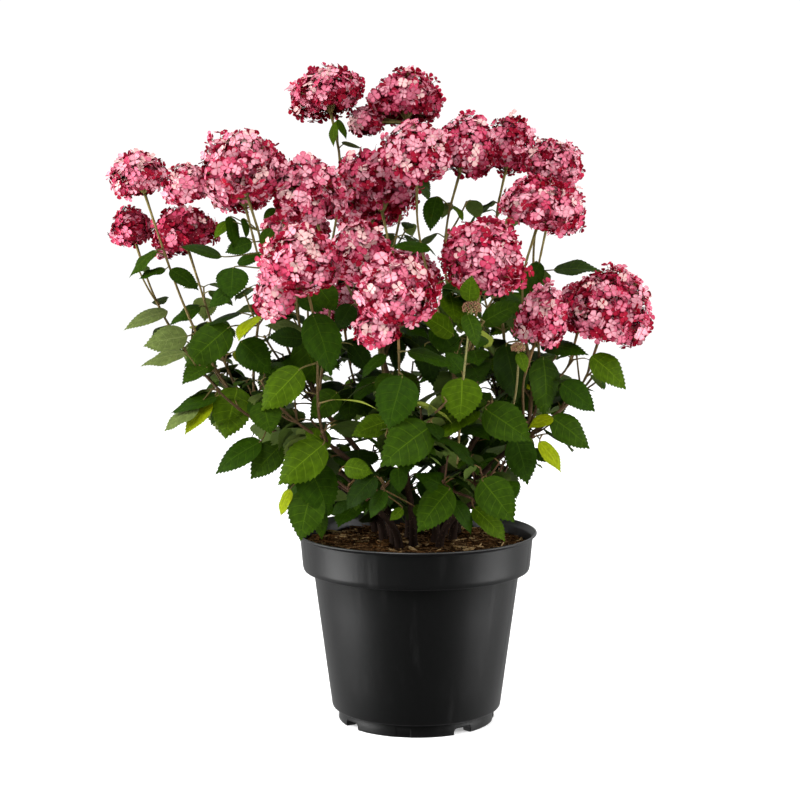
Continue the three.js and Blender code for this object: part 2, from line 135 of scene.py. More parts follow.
def smooth_noise(points: Array, seed: int) -> Array:
    """Give soft noise from -1 to 1 on a lattice of step one.

    Each lattice corner has its own chance, and the eight corners round a point are blended by the
    smooth step 3t^2 - 2t^3 of the point's place between them.

    Args:
        points: places, in steps of the lattice, with three numbers in the last axis.
        seed: keeps one noise apart from another.

    Returns:
        The noise, with the shape of points less its last axis.
    """
    cell = np.floor(points).astype(np.int64)
    share = points - cell
    share = share * share * (3 - 2 * share)
    total = np.zeros(points.shape[:-1])
    for corner in np.ndindex(2, 2, 2):
        key = np.bitwise_xor.reduce((cell + corner + LATTICE_START) * LATTICE_FACTORS, axis=-1)
        value = chance(np.abs(key) % LOW_PRIME, seed).reshape(total.shape)
        weight = np.prod(np.where(np.array(corner) == 1, share, 1 - share), axis=-1)
        total += weight * value
    return total * 2 - 1


# ---------------------------------------------------------------- surfaces


@dataclass(frozen=True)
class Surface:
    """Triangles as whole arrays.

    points is (n, 3) in millimetres, faces is (m, 3) point numbers, and places is (m, 3, 2), the
    place of each corner on the piece's own map.
    """

    points: Array
    faces: Array
    places: Array

    @staticmethod
    def join(parts: Sequence["Surface"]) -> "Surface":
        """Join surfaces into one, with their point numbers counted on."""
        starts = np.cumsum([0] + [len(part.points) for part in parts[:-1]])
        return Surface(
            np.concatenate([part.points for part in parts]),
            np.concatenate([part.faces + start for part, start in zip(parts, starts)]),
            np.concatenate([part.places for part in parts]),
        )

    def copies(self, points: Array) -> "Surface":
        """Repeat this surface's faces over many sets of its points.

        Args:
            points: (k, n, 3), the places that the n points take in each of k copies.

        Returns:
            The k copies as one surface.
        """
        count, size = points.shape[:2]
        offsets = (np.arange(count) * size)[:, None, None]
        return Surface(
            points.reshape(-1, 3),
            (self.faces[None] + offsets).reshape(-1, 3),
            np.tile(self.places, (count, 1, 1)),
        )

    def spread(self, origins: Array, axes: Array, scales: Array) -> "Surface":
        """Copy this surface to many places.

        A copy's point is its origin plus the template's x, y and z, each times the copy's scale and
        along the copy's own three axes.

        Args:
            origins: (k, 3) places of the copies.
            axes: (k, 3, 3), the three directions of each copy, one in each row.
            scales: (k,) or (k, 3) scales.

        Returns:
            The copies as one surface.
        """
        scales = np.asarray(scales, dtype=float).reshape(len(origins), 1, -1)
        local = self.points[None] * scales
        return self.copies(origins[:, None, :] + np.einsum("kpi,kij->kpj", local, axes))


def grid_cells(rows: int, columns: int, closed: bool) -> tuple[Array, Array]:
    """Split a grid of points into triangles, two to a cell.

    Seen with rows counted upwards and columns to the left, the faces look at the viewer.

    Args:
        rows: rows of points.
        columns: points in a row.
        closed: whether the last column joins the first.

    Returns:
        (m, 3) point numbers, and (m, 3, 2) the row and column of each corner, where the closing
        column is counted on and not from 0 again.
    """
    row, column = np.meshgrid(
        np.arange(rows - 1), np.arange(columns if closed else columns - 1), indexing="ij"
    )
    halves = np.array([[[0, 0], [0, 1], [1, 1]], [[0, 0], [1, 1], [1, 0]]])
    cells = (np.stack([row, column], axis=-1).reshape(-1, 1, 1, 2) + halves).reshape(-1, 3, 2)
    return cells[..., 0] * columns + cells[..., 1] % columns, cells


def full_turn(count: int) -> Array:
    """Give evenly spaced angles round one full turn."""
    return 2 * np.pi * np.arange(count) / count


def ring_points(angle: Array, radius: Array | float = 1.0, level: Array | float = 0.0) -> Array:
    """Give the points at these angles round the Z axis, at a radius and a level."""
    rows = np.broadcast_arrays(radius * np.cos(angle), radius * np.sin(angle), level)
    return np.stack(rows, axis=-1)


def triangles(*corners: Array | int) -> Array:
    """Give a triangle a row, from its corners' point numbers in rows or as one number for all."""
    return np.stack(np.broadcast_arrays(*corners), axis=1)


def capped_cells(steps: int, sides: int) -> tuple[Array, Array]:
    """Split rings of points into triangles, and close both ends by a fan round a pole.

    Args:
        steps: rings of points.
        sides: points round a ring.

    Returns:
        (m, 3) point numbers, where the foot's and the top's poles are counted after the rings, and
        (m, 3, 2) the share of the way round and of the length at each corner.
    """
    faces, cells = grid_cells(steps, sides, closed=True)
    around = np.arange(sides)
    following = (around + 1) % sides
    top = (steps - 1) * sides
    foot_fan = triangles(steps * sides, following, around)
    top_fan = triangles(steps * sides + 1, top + around, top + following)
    places = np.zeros((len(faces) + 2 * sides, 3, 2))
    places[:len(faces)] = np.stack([cells[..., 1] / sides, cells[..., 0] / (steps - 1)], axis=-1)
    places[len(faces) + sides:, :, 1] = 1.0
    return np.concatenate([faces, foot_fan, top_fan]), places


def tubes(centres: Array, radii: Array, sides: int, reference: Array | None = None) -> Surface:
    """Carry a circle along each of many lines, with both ends closed by a fan.

    A point is the line's centre plus its radius along the direction at its angle round the line's
    tangent.

    Args:
        centres: (k, s, 3) points along each line.
        radii: (k, s) radii, or (k, s, sides) with their own relief.
        sides: points round a ring.
        reference: (k, 3) directions across each line, from which the angle is counted.

    Returns:
        The closed tubes as one surface, with the angle and the length as its places.
    """
    count, steps = centres.shape[:2]
    tangent = unit(np.gradient(centres, axis=1))
    if reference is None:
        chord = unit(centres[:, -1] - centres[:, 0])
        reference = np.cross(chord, ACROSS)
    lean = np.sum(reference[:, None] * tangent, axis=-1, keepdims=True)
    normal = unit(reference[:, None] - lean * tangent)
    binormal = np.cross(tangent, normal)
    angle = full_turn(sides)[:, None]
    ring = np.cos(angle) * normal[:, :, None] + np.sin(angle) * binormal[:, :, None]
    radii = radii if radii.ndim == 3 else radii[:, :, None]
    walls = (centres[:, :, None] + radii[..., None] * ring).reshape(count, steps * sides, 3)
    points = np.concatenate([walls, centres[:, :1], centres[:, -1:]], axis=1)
    return Surface(points[0], *capped_cells(steps, sides)).copies(points)


def revolved(radius: Array, height: Array, angles: Array) -> Surface:
    """Carry a profile round the Z axis, with both of its ends closed on the axis.

    A point is its radius along the direction of its angle, at its height.

    Args:
        radius: (s, a) radius at each step of the profile and each angle.
        height: (s, a) height at each step of the profile and each angle.
        angles: (a,) angles, rising round one full turn.

    Returns:
        The closed surface, whose outside lies to the right of the profile from foot to top.
    """
    points = ring_points(angles, radius, height).reshape(-1, 3)
    poles = np.array([[0, 0, height[0].mean()], [0, 0, height[-1].mean()]])
    return Surface(np.concatenate([points, poles]), *capped_cells(*radius.shape))


def filleted(corners: Sequence[tuple[float, float, float]], steps: int = 4) -> Array:
    """Round the corners of a profile.

    Each corner gives way to an arc drawn as a quadratic curve between the points that lie its
    fillet's length before and after it.

    Args:
        corners: radius, height and fillet of each corner.
        steps: points on an arc, less one.

    Returns:
        (n, 2) radius and height along the rounded profile.
    """
    spots = np.array([corner[:2] for corner in corners], dtype=float)
    share = np.linspace(0, 1, steps + 1)[:, None]
    rows = [spots[:1]]
    for before, here, after, (_, _, fillet) in zip(spots, spots[1:], spots[2:], corners[1:]):
        if fillet == 0:
            rows.append(here[None])
            continue
        start = here + unit(before - here) * fillet
        end = here + unit(after - here) * fillet
        rows.append((1 - share) ** 2 * start + 2 * share * (1 - share) * here + share ** 2 * end)
    rows.append(spots[-1:])
    return np.concatenate(rows)


@dataclass(frozen=True)
class Curve:
    """A Bezier curve through its first and last controls, read at shares of its length."""

    controls: Array

    def _spot(self, times: Array) -> Array:
        """Sum the controls, each by its Bernstein weight at the given times."""
        order = len(self.controls) - 1
        weights = [
            math.comb(order, i) * times ** i * (1 - times) ** (order - i) for i in range(order + 1)
        ]
        return np.stack(weights, axis=-1) @ self.controls

    def _times(self, shares: Array | float) -> Array:
        """Turn shares of the length into the curve's own times, from 200 short chords."""
        times = np.linspace(0, 1, 201)
        chords = np.linalg.norm(np.diff(self._spot(times), axis=0), axis=1)
        lengths = np.concatenate([[0.0], np.cumsum(chords)])
        return np.interp(np.atleast_1d(shares) * lengths[-1], lengths, times)

    def at(self, shares: Array | float) -> Array:
        """Give the points at these shares of the length."""
        return self._spot(self._times(shares))

    def tangent(self, shares: Array | float) -> Array:
        """Give the directions at these shares of the length."""
        times = self._times(shares)
        step = 1e-4
        return unit(self._spot(np.minimum(times + step, 1)) - self._spot(np.maximum(times - step, 0)))

    def chord_point(self, steps: int, shares: Array) -> Array:
        """Give the points at these shares on the straight lines between a number of even steps."""
        knots = self.at(np.linspace(0, 1, steps + 1))
        first = np.minimum((shares * steps).astype(int), steps - 1)
        part = (shares * steps - first)[:, None]
        return knots[first] * (1 - part) + knots[first + 1] * part


# ---------------------------------------------------------------- pieces


def add_piece(
    name: str,
    surface: Surface,
    finish: bpy.types.Material,
    stands_for: Sequence[str] = (),
    smooth: bool = True,
) -> bpy.types.Object:
    """Make a mesh object from a surface, and hide the frame's nodes that it stands for.

    Args:
        name: the piece's name.
        surface: its triangles, in millimetres.
        finish: its material.
        stands_for: the frame's nodes that it replaces.
        smooth: whether its faces are shaded as one soft surface.

    Returns:
        The new object, which rides on the root body.
    """
    mesh = bpy.data.meshes.new(name)
    count = len(surface.faces)
    mesh.vertices.add(len(surface.points))
    mesh.vertices.foreach_set("co", (surface.points * MM).astype(np.float32).ravel())
    mesh.loops.add(3 * count)
    mesh.loops.foreach_set("vertex_index", surface.faces.astype(np.int32).ravel())
    mesh.polygons.add(count)
    mesh.polygons.foreach_set("loop_start", np.arange(0, 3 * count, 3, dtype=np.int32))
    mesh.polygons.foreach_set("use_smooth", np.full(count, smooth))
    mesh.uv_layers.new(name=MAP_NAME).data.foreach_set("uv", surface.places.astype(np.float32).ravel())
    mesh.update(calc_edges=True)
    mesh.materials.append(finish)
    piece = bpy.data.objects.new(name, mesh)
    bpy.context.scene.collection.objects.link(piece)
    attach(piece, "root")
    if stands_for:
        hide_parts(*stands_for)
    LOG.info("%s: %d triangles", name, count)
    return piece


# ---------------------------------------------------------------- finishes


Socket = bpy.types.NodeSocket
NodeTree = bpy.types.NodeTree
Value = float | Colour | Socket


class Recipe:
    """Adds shader nodes to a tree and links them by name."""

    def __init__(self, tree: NodeTree) -> None:
        """Start on a tree."""
        self.tree = tree

    def add(
        self, kind: str, inputs: dict[str | int, Value] | None = None, **settings: object
    ) -> bpy.types.Node:
        """Add a node, with its settings and its inputs linked or set.

        Args:
            kind: the node's type, without its ShaderNode prefix.
            inputs: a socket to link or a value to set, by the input's name or number.
            settings: the node's own properties.

        Returns:
            The node.
        """
        node = self.tree.nodes.new(f"ShaderNode{kind}")
        for key, value in settings.items():
            setattr(node, key, value)
        for key, value in (inputs or {}).items():
            socket = node.inputs[key]
            if isinstance(value, Socket):
                self.tree.links.new(value, socket)
            elif isinstance(value, tuple) and socket.type == "RGBA":
                socket.default_value = (*value, 1.0)
            else:
                socket.default_value = value
        return node

    def math(self, operation: str, *values: Value) -> Socket:
        """Add a Math node and give its result."""
        return self.add("Math", dict(enumerate(values)), operation=operation).outputs[0]

    def inverse(self, share: Value) -> Socket:
        """Give one less a share."""
        return self.math("SUBTRACT", 1.0, share)

    def off_middle(self, share: Value) -> Socket:
        """Give how far a share lies from a half."""
        return self.math("ABSOLUTE", self.math("SUBTRACT", share, 0.5))

    def scaled(self, place: Value, scales: Point) -> Socket:
        """Scale a place along its three axes."""
        return self.add("VectorMath", {0: place, 1: scales}, operation="MULTIPLY").outputs[0]

    def blend(self, share: Value, first: Value, second: Value) -> Socket:
        """Blend two colours by a share from 0 to 1."""
        return self.add("Mix", {0: share, 6: first, 7: second}, data_type="RGBA").outputs[2]

    def two_sided(self, front: Value, back: Value) -> Socket:
        """Give one colour on the faces' fronts and another behind."""
        return self.blend(self.add("NewGeometry").outputs["Backfacing"], front, back)

    def ramp(self, value: Value, low: float, high: float) -> Socket:
        """Carry a value from the range low to high smoothly to the range 0 to 1."""
        inputs = {0: value, 1: low, 2: high, 3: 0.0, 4: 1.0}
        return self.add("MapRange", inputs, interpolation_type="SMOOTHSTEP").outputs[0]

    def noise(self, place: Value, scale: Value, detail: float = 2.0) -> Socket:
        """Add soft noise at a scale and give its value."""
        inputs = {"Vector": place, "Scale": scale, "Detail": detail}
        return self.add("TexNoise", inputs).outputs["Fac"]

    def bump(self, height: Value, distance: float, strength: float = 1.0) -> Socket:
        """Turn a height into a normal."""
        inputs = {"Height": height, "Distance": distance, "Strength": strength}
        return self.add("Bump", inputs).outputs[0]

    def map_place(self) -> Socket:
        """Give the place on the piece's own map."""
        return self.add("UVMap", uv_map=MAP_NAME).outputs[0]

    def object_place(self) -> Socket:
        """Give the place in the piece's own space, in metres."""
        return self.add("TexCoord").outputs["Object"]

    def group(self, tree: NodeTree, **inputs: Value) -> bpy.types.Node:
        """Place a node group, with its inputs by their names in small letters."""
        named = {key.capitalize(): value for key, value in inputs.items()}
        return self.add("Group", named, node_tree=tree)

    def close(self, **results: Socket) -> NodeTree:
        """Give this group's tree its outputs, each a number under its own name."""
        for label in results:
            self.tree.interface.new_socket(label, in_out="OUTPUT", socket_type="NodeSocketFloat")
        sink = self.tree.nodes.new("NodeGroupOutput")
        for label, socket in results.items():
            self.tree.links.new(socket, sink.inputs[label])
        return self.tree


def new_group(name: str, control: str) -> tuple[Recipe, Socket, Socket]:
    """Start a node group that takes a place and one number.

    Args:
        name: the group's name.
        control: the number's name.

    Returns:
        A recipe on the group, and the sockets of the place and the number.
    """
    tree = bpy.data.node_groups.new(name, "ShaderNodeTree")
    tree.interface.new_socket("Place", in_out="INPUT", socket_type="NodeSocketVector")
    tree.interface.new_socket(control, in_out="INPUT", socket_type="NodeSocketFloat")
    source = tree.nodes.new("NodeGroupInput")
    return Recipe(tree), source.outputs["Place"], source.outputs[control]


class Effects:
    """The effects that several finishes share, each a node group that is built once."""

    def __init__(self) -> None:
        """Build the groups."""
        self.veins = self._veins()
        self.blush = self._blush()
        self.grain = self._grain()
        self.streaks = self._streaks()

    @staticmethod
    def _veins() -> NodeTree:
        """Feathered veins on a blade's own map.

        The side veins lie where the length share times the number of pairs is half way between two
        whole numbers, and thin out towards the margin. The midrib lies where the width share is a
        half. Fine cells between them lift the height.
        """
        nodes, place, pairs = new_group("leaf_veins", "Pairs")
        split = nodes.add("SeparateXYZ", {0: place})
        across = nodes.off_middle(split.outputs[0])
        near = nodes.off_middle(nodes.math("FRACT", nodes.math("MULTIPLY", split.outputs[1], pairs)))
        side = nodes.inverse(nodes.ramp(near, 0.008, 0.06))
        side = nodes.math("MULTIPLY", side, nodes.inverse(nodes.ramp(across, 0.3, 0.5)))
        midrib = nodes.inverse(nodes.ramp(across, 0.006, 0.022))
        vein = nodes.math("MAXIMUM", midrib, nodes.math("MULTIPLY", side, 0.75))
        stretched = {"Vector": nodes.scaled(place, (22.0, 34.0, 1.0)), "Scale": 1.0}
        net = nodes.add("TexVoronoi", stretched, feature="DISTANCE_TO_EDGE")
        cells = nodes.math("MULTIPLY", nodes.ramp(net.outputs["Distance"], 0.0, 0.3), 0.3)
        mottle = nodes.noise(place, 7.0, 3.0)
        return nodes.close(Vein=vein, Mottle=mottle, Height=nodes.math("SUBTRACT", cells, vein))

    @staticmethod
    def _blush() -> NodeTree:
        """The deeper colour of a petal towards its margin and its claw, with fine streaks along it.

        The map's second share runs from the eye to the petal's tip and its first share across it.
        """
        nodes, place, depth = new_group("petal_blush", "Depth")
        split = nodes.add("SeparateXYZ", {0: place})
        across, along = nodes.off_middle(split.outputs[0]), split.outputs[1]
        edge = nodes.math("MAXIMUM", nodes.ramp(across, 0.22, 0.5), nodes.ramp(along, 0.62, 1.0))
        claw = nodes.inverse(nodes.ramp(along, 0.0, 0.22))
        deep = nodes.math("MULTIPLY", nodes.math("MAXIMUM", edge, claw), 0.75)
        streak = nodes.noise(nodes.scaled(place, (26.0, 3.0, 1.0)), 1.0)
        mixed = nodes.math("ADD", deep, nodes.math("MULTIPLY", streak, 0.35))
        return nodes.close(Blush=nodes.math("MULTIPLY", mixed, depth), Height=streak)

    @staticmethod
    def _grain() -> NodeTree:
        """Fine satin grain with broad, faint scuffs: two noises, one fine and one stretched."""
        nodes, place, fineness = new_group("satin_grain", "Fineness")
        broad = nodes.noise(nodes.scaled(place, (1.0, 1.0, 0.16)), 60.0, 6.0)
        fine = nodes.noise(place, fineness, 3.0)
        return nodes.close(Scuff=nodes.ramp(broad, 0.56, 0.78), Height=fine)

    @staticmethod
    def _streaks() -> NodeTree:
        """Lengthwise streaks and scattered pores on a stem that stands more or less upright."""
        nodes, place, fineness = new_group("stem_streaks", "Fineness")
        streak = nodes.noise(nodes.scaled(place, (1.0, 1.0, 0.07)), fineness, 4.0)
        spots = nodes.add("TexVoronoi", {"Vector": place, "Scale": 320.0})
        pore = nodes.inverse(nodes.ramp(spots.outputs["Distance"], 0.1, 0.2))
        return nodes.close(Streak=nodes.ramp(streak, 0.3, 0.7), Pore=pore)


@dataclass(frozen=True)
class Finish:
    """What every finish has: a name, the plain values of its shader, and its looks."""

    name: str
    roughness: float = 0.6
    specular: float = 0.5

    def looks(self, nodes: Recipe, effects: Effects) -> dict[str, Socket]:
        """Give the sockets that the shader takes, by the names of its inputs."""
        raise NotImplementedError

    def make(self, effects: Effects) -> bpy.types.Material:
        """Make the material, with the plain values set and the looks linked."""
        material = bpy.data.materials.new(self.name)
        material.use_nodes = True
        nodes = Recipe(material.node_tree)
        shader = nodes.tree.nodes["Principled BSDF"]
        shader.inputs["Roughness"].default_value = self.roughness
        shader.inputs["Specular IOR Level"].default_value = self.specular
        for label, socket in self.looks(nodes, effects).items():
            nodes.tree.links.new(socket, shader.inputs[label])
        return material


@dataclass(frozen=True)
class LeafFinish(Finish):
    """A green blade with paler sunken veins and a pale grey-green underside."""

    top: Colour = (0.04, 0.12, 0.01)
    vein: Colour = (0.1, 0.22, 0.04)
    under: Colour = (0.16, 0.25, 0.09)
    vein_pairs: float = 7.0

    def looks(self, nodes: Recipe, effects: Effects) -> dict[str, Socket]:
        """Lay the vein's colour over the mottled top, and the underside's behind."""
        veins = nodes.group(effects.veins, place=nodes.map_place(), pairs=self.vein_pairs)
        shade = tuple(0.7 * part for part in self.top)
        mottled = nodes.blend(nodes.ramp(veins.outputs["Mottle"], 0.35, 0.68), shade, self.top)
        top = nodes.blend(nodes.math("MULTIPLY", veins.outputs["Vein"], 0.4), mottled, self.vein)
        normal = nodes.bump(veins.outputs["Height"], 0.0004, 0.6)
        return {"Base Color": nodes.two_sided(top, self.under), "Normal": normal}


@dataclass(frozen=True)
class PetalFinish(Finish):
    """A petal that deepens towards its margin, crimson behind."""

    inner: Colour = (0.8, 0.35, 0.42)
    margin: Colour = (0.5, 0.06, 0.14)
    back: Colour = (0.28, 0.01, 0.05)
    depth: float = 0.8

    def looks(self, nodes: Recipe, effects: Effects) -> dict[str, Socket]:
        """Lay the margin's colour over the inner one by the blush mask, and the back's behind."""
        blush = nodes.group(effects.blush, place=nodes.map_place(), depth=self.depth)
        front = nodes.blend(blush.outputs["Blush"], self.inner, self.margin)
        normal = nodes.bump(blush.outputs["Height"], 0.0002, 0.5)
        return {"Base Color": nodes.two_sided(front, self.back), "Normal": normal}


@dataclass(frozen=True)
class StemFinish(Finish):
    """A stem that turns from one colour below to another above, streaked and pored."""

    low: Colour = (0.12, 0.045, 0.02)
    high: Colour = (0.12, 0.14, 0.03)
    change: tuple[float, float] = (0.3, 0.5)
    fineness: float = 900.0
    crack: Colour = (0.03, 0.015, 0.01)
    pore: Colour = (0.3, 0.2, 0.12)

    def looks(self, nodes: Recipe, effects: Effects) -> dict[str, Socket]:
        """Blend the colours by height, darker in the streaks and paler at the pores."""
        place = nodes.object_place()
        level = nodes.add("SeparateXYZ", {0: place}).outputs[2]
        marks = nodes.group(effects.streaks, place=place, fineness=self.fineness)
        streak, pore = marks.outputs["Streak"], marks.outputs["Pore"]
        colour = nodes.blend(nodes.ramp(level, *self.change), self.low, self.high)
        streaked = nodes.blend(streak, nodes.blend(0.55, colour, self.crack), colour)
        pored = nodes.blend(nodes.math("MULTIPLY", pore, 0.3), streaked, self.pore)
        return {"Base Color": pored, "Normal": nodes.bump(nodes.math("ADD", streak, pore), 0.0003)}


@dataclass(frozen=True)
class PlasticFinish(Finish):
    """Moulded black-grey plastic with a satin grain and faint upright scuffs."""

    colour: Colour = (0.0015, 0.0016, 0.0016)
    worn: Colour = (0.004, 0.0041, 0.004)
    fineness: float = 1500.0

    def looks(self, nodes: Recipe, effects: Effects) -> dict[str, Socket]:
        """Make it paler and rougher where it is scuffed, with the grain as bump."""
        grain = nodes.group(effects.grain, place=nodes.object_place(), fineness=self.fineness)
        scuff = grain.outputs["Scuff"]
        rough = nodes.math("ADD", self.roughness, nodes.math("MULTIPLY", scuff, 0.12))
        return {
            "Base Color": nodes.blend(nodes.math("MULTIPLY", scuff, 0.7), self.colour, self.worn),
            "Roughness": rough,
            "Normal": nodes.bump(grain.outputs["Height"], 0.00012, 0.5),
        }


@dataclass(frozen=True)
class EarthFinish(Finish):
    """Loose mix, chips or fibres: one colour broken by noise into another."""

    first: Colour = (0.035, 0.018, 0.01)
    second: Colour = (0.09, 0.05, 0.026)
    scale: float = 260.0

    def looks(self, nodes: Recipe, effects: Effects) -> dict[str, Socket]:
        """Blend the colours by noise, with a grain four times finer as bump."""
        place = nodes.object_place()
        grain = nodes.group(effects.grain, place=place, fineness=self.scale * 4)
        mask = nodes.ramp(nodes.noise(place, self.scale, 4.0), 0.4, 0.66)
        return {
            "Base Color": nodes.blend(mask, self.first, self.second),
            "Normal": nodes.bump(grain.outputs["Height"], 0.0006),
        }


POT_PLASTIC = PlasticFinish("pot_black_plastic", 0.38)
PEAT = EarthFinish("peat", 0.95, 0.0, (0.018, 0.008, 0.003), (0.07, 0.036, 0.013))
PALE_CHIP = EarthFinish("chip_pale", 0.85, 0.0, (0.26, 0.16, 0.065), (0.55, 0.4, 0.21), 420.0)
BROWN_CHIP = EarthFinish("chip_brown", 0.85, 0.0, (0.045, 0.02, 0.007), (0.17, 0.082, 0.03), 420.0)
CRUMB = EarthFinish("crumb", 0.95, 0.0, (0.014, 0.007, 0.003), (0.06, 0.03, 0.012))
FIBRE = EarthFinish("fibre", 0.8, 0.0, (0.06, 0.028, 0.012), (0.2, 0.12, 0.055))
BUD_SKIN = EarthFinish("bud", 0.7, 0.5, (0.17, 0.05, 0.03), (0.22, 0.16, 0.05), 300.0)
FLORET_EYE = EarthFinish("floret_eye", 0.6, 0.5, (0.42, 0.1, 0.13), (0.58, 0.26, 0.25), 120.0)
# BARK's colours are darkened to near-black at the foot and dark brown above: painted shade under the
# crown, laid over the wood's own brown.
BARK = StemFinish(
    "woody_bark", 0.85, 0.1, (0.012, 0.0065, 0.004), (0.055, 0.03, 0.014), (0.22, 0.4), 700.0
)
GREEN_STEM = StemFinish(
    "green_stem", 0.6, 0.12, (0.055, 0.026, 0.011), (0.15, 0.115, 0.034), (0.3, 0.54)
)
LEAF_STALK = StemFinish(
    "leaf_stalk", 0.55, 0.12, (0.10, 0.055, 0.018), (0.13, 0.12, 0.03), (0.25, 0.5)
)
HEAD_STEM = StemFinish("head_stem", 0.55, 0.12, (0.17, 0.09, 0.03), (0.2, 0.17, 0.05), (0.4, 0.6))
BUD_STEM = StemFinish("bud_stem", 0.6, 0.1, (0.16, 0.12, 0.045), (0.2, 0.2, 0.07), (0.34, 0.48))


# ---------------------------------------------------------------- pot and potting mix


@dataclass
class Pot:
    """The round pot: a lip, a band under it, a step, a tapering wall and a notched foot ring."""

    height: float = 221
    lip_radius: float = 140
    lip_thickness: float = 2.8
    lip_depth: float = 4
    band_top_radius: float = 135.5
    band_foot_radius: float = 132.3
    band_foot_z: float = 182
    step_radius: float = 119.8
    step_z: float = 176
    wall_foot_radius: float = 98.3
    wall_foot_z: float = 15.4
    wall: float = 2.1
    foot_radius: float = 91
    foot_width: float = 12
    foot_height: float = 15
    pad_radius: float = 20
    floor_underside: float = 8
    floor_top: float = 11
    notch: tuple[float, float, float] = (35, 23, 7.6)  # first angle, width, height
    recess: tuple[float, float, float, float] = (-10, 18, 9, 1.2)  # and depth
    wall_swell: tuple[Point, ...] = ((103, 50, 0), (109, 95, 0), (114.5, 136, 0))
    inner_rise: float = 0.6  # how far the band's foot is higher inside than outside
    axis_gap: float = 0.5
    arch_fillet: float = 4
    opening_steps: tuple[float, ...] = (-0.03, -0.012, -0.004, 0, 0.003)  # in radians, at a side
    sectors: int = 200

    def _profile(self) -> Array:
        """Give the rounded profile, from the middle of the underside round to the inner floor."""
        ring_inside, recess_top = self.foot_radius - self.foot_width, self.recess[2]
        under_lip, inner_foot = self.height - self.lip_depth, self.wall_foot_z + self.wall
        return filleted([
            (self.axis_gap, 0, 0), (self.pad_radius, 0, 1), (self.pad_radius, self.floor_underside, 1),
            (ring_inside, self.floor_underside, 1), (ring_inside, 0, 1), (self.foot_radius, 0, 1.2),
            (self.foot_radius, recess_top, 0), (self.foot_radius, recess_top + 0.6, 0),
            (self.foot_radius, self.foot_height, 1.5), (self.wall_foot_radius, self.wall_foot_z, 2.5),
            *self.wall_swell, (self.step_radius, self.step_z, 1.5),
            (self.band_foot_radius - 1.2, self.step_z + 1.2, 1.4),
            (self.band_foot_radius, self.band_foot_z, 2), (self.band_top_radius, under_lip, 1),
            (self.lip_radius, self.height - self.lip_depth / 2, 1), (self.lip_radius, self.height, 1),
            (self.lip_radius - self.lip_thickness, self.height, 1),
            (self.band_top_radius - self.wall, under_lip - self.wall, 1.5),
            (self.band_foot_radius - self.wall, self.band_foot_z + self.inner_rise, 1.5),
            (self.step_radius - self.wall, self.step_z + self.wall, 1.5),
            (self.wall_foot_radius - self.wall, inner_foot, 1),
            (self.foot_radius - self.wall, inner_foot, 1),
            (self.foot_radius - self.wall, self.floor_top, 1), (self.axis_gap, self.floor_top, 0),
        ])

    def _angles(self) -> Array:
        """Give the angles of the sectors, with extra ones at the sides of notches and recesses."""
        quarter = np.arange(4)[:, None] * np.pi / 2 - np.pi / 2
        extra = []
        for first, width in (self.notch[:2], self.recess[:2]):
            sides = width / 2 / self.foot_radius + np.array(self.opening_steps)
            extra.append((math.radians(first) + quarter + np.concatenate([-sides, sides])).ravel())
        angles = np.concatenate([full_turn(self.sectors), *extra])
        return np.unique(np.round(angles % (2 * np.pi), 4))

    def _inside(self, angles: Array, first: float, width: float) -> Array:
        """Give how far inside the nearest of four openings each angle lies, in millimetres."""
        turned = angles + np.pi / 2 - math.radians(first)
        offset = (turned + np.pi / 4) % (np.pi / 2) - np.pi / 4
        return width / 2 - np.abs(offset) * self.foot_radius

    def build(self, effects: Effects) -> bpy.types.Object:
        """Build the pot.

        The profile is carried round. Where a notch is, the foot ring's lowest points rise to the
        notch's height along a round-cornered arch, and where a recess is, the ring's outer face
        moves in.
        """
        profile = self._profile()
        angles = self._angles()
        radius = np.repeat(profile[:, :1], len(angles), axis=1)
        height = np.repeat(profile[:, 1:], len(angles), axis=1)
        first, width, top = self.notch
        inside, bend = self._inside(angles, first, width), self.arch_fillet
        rest = bend - np.clip(inside, 0, bend)
        arch = np.where(inside > 0, top - bend + np.sqrt(np.maximum(bend ** 2 - rest ** 2, 0)), 0)
        ring_inside = self.foot_radius - self.foot_width
        in_ring = (radius > ring_inside - 0.5) & (radius < self.foot_radius + 0.5)
        height = np.where(in_ring & (height < top), np.maximum(height, arch), height)
        first, width, top, depth = self.recess
        inside = np.clip(self._inside(angles, first, width) / 0.4, 0, 1)
        on_face = (np.abs(radius - self.foot_radius) < 1) & (height <= top)
        radius = np.where(on_face, radius - depth * inside, radius)
        surface = revolved(radius, height, angles)
        return add_piece("pot_shell", surface, POT_PLASTIC.make(effects), ["pot"])


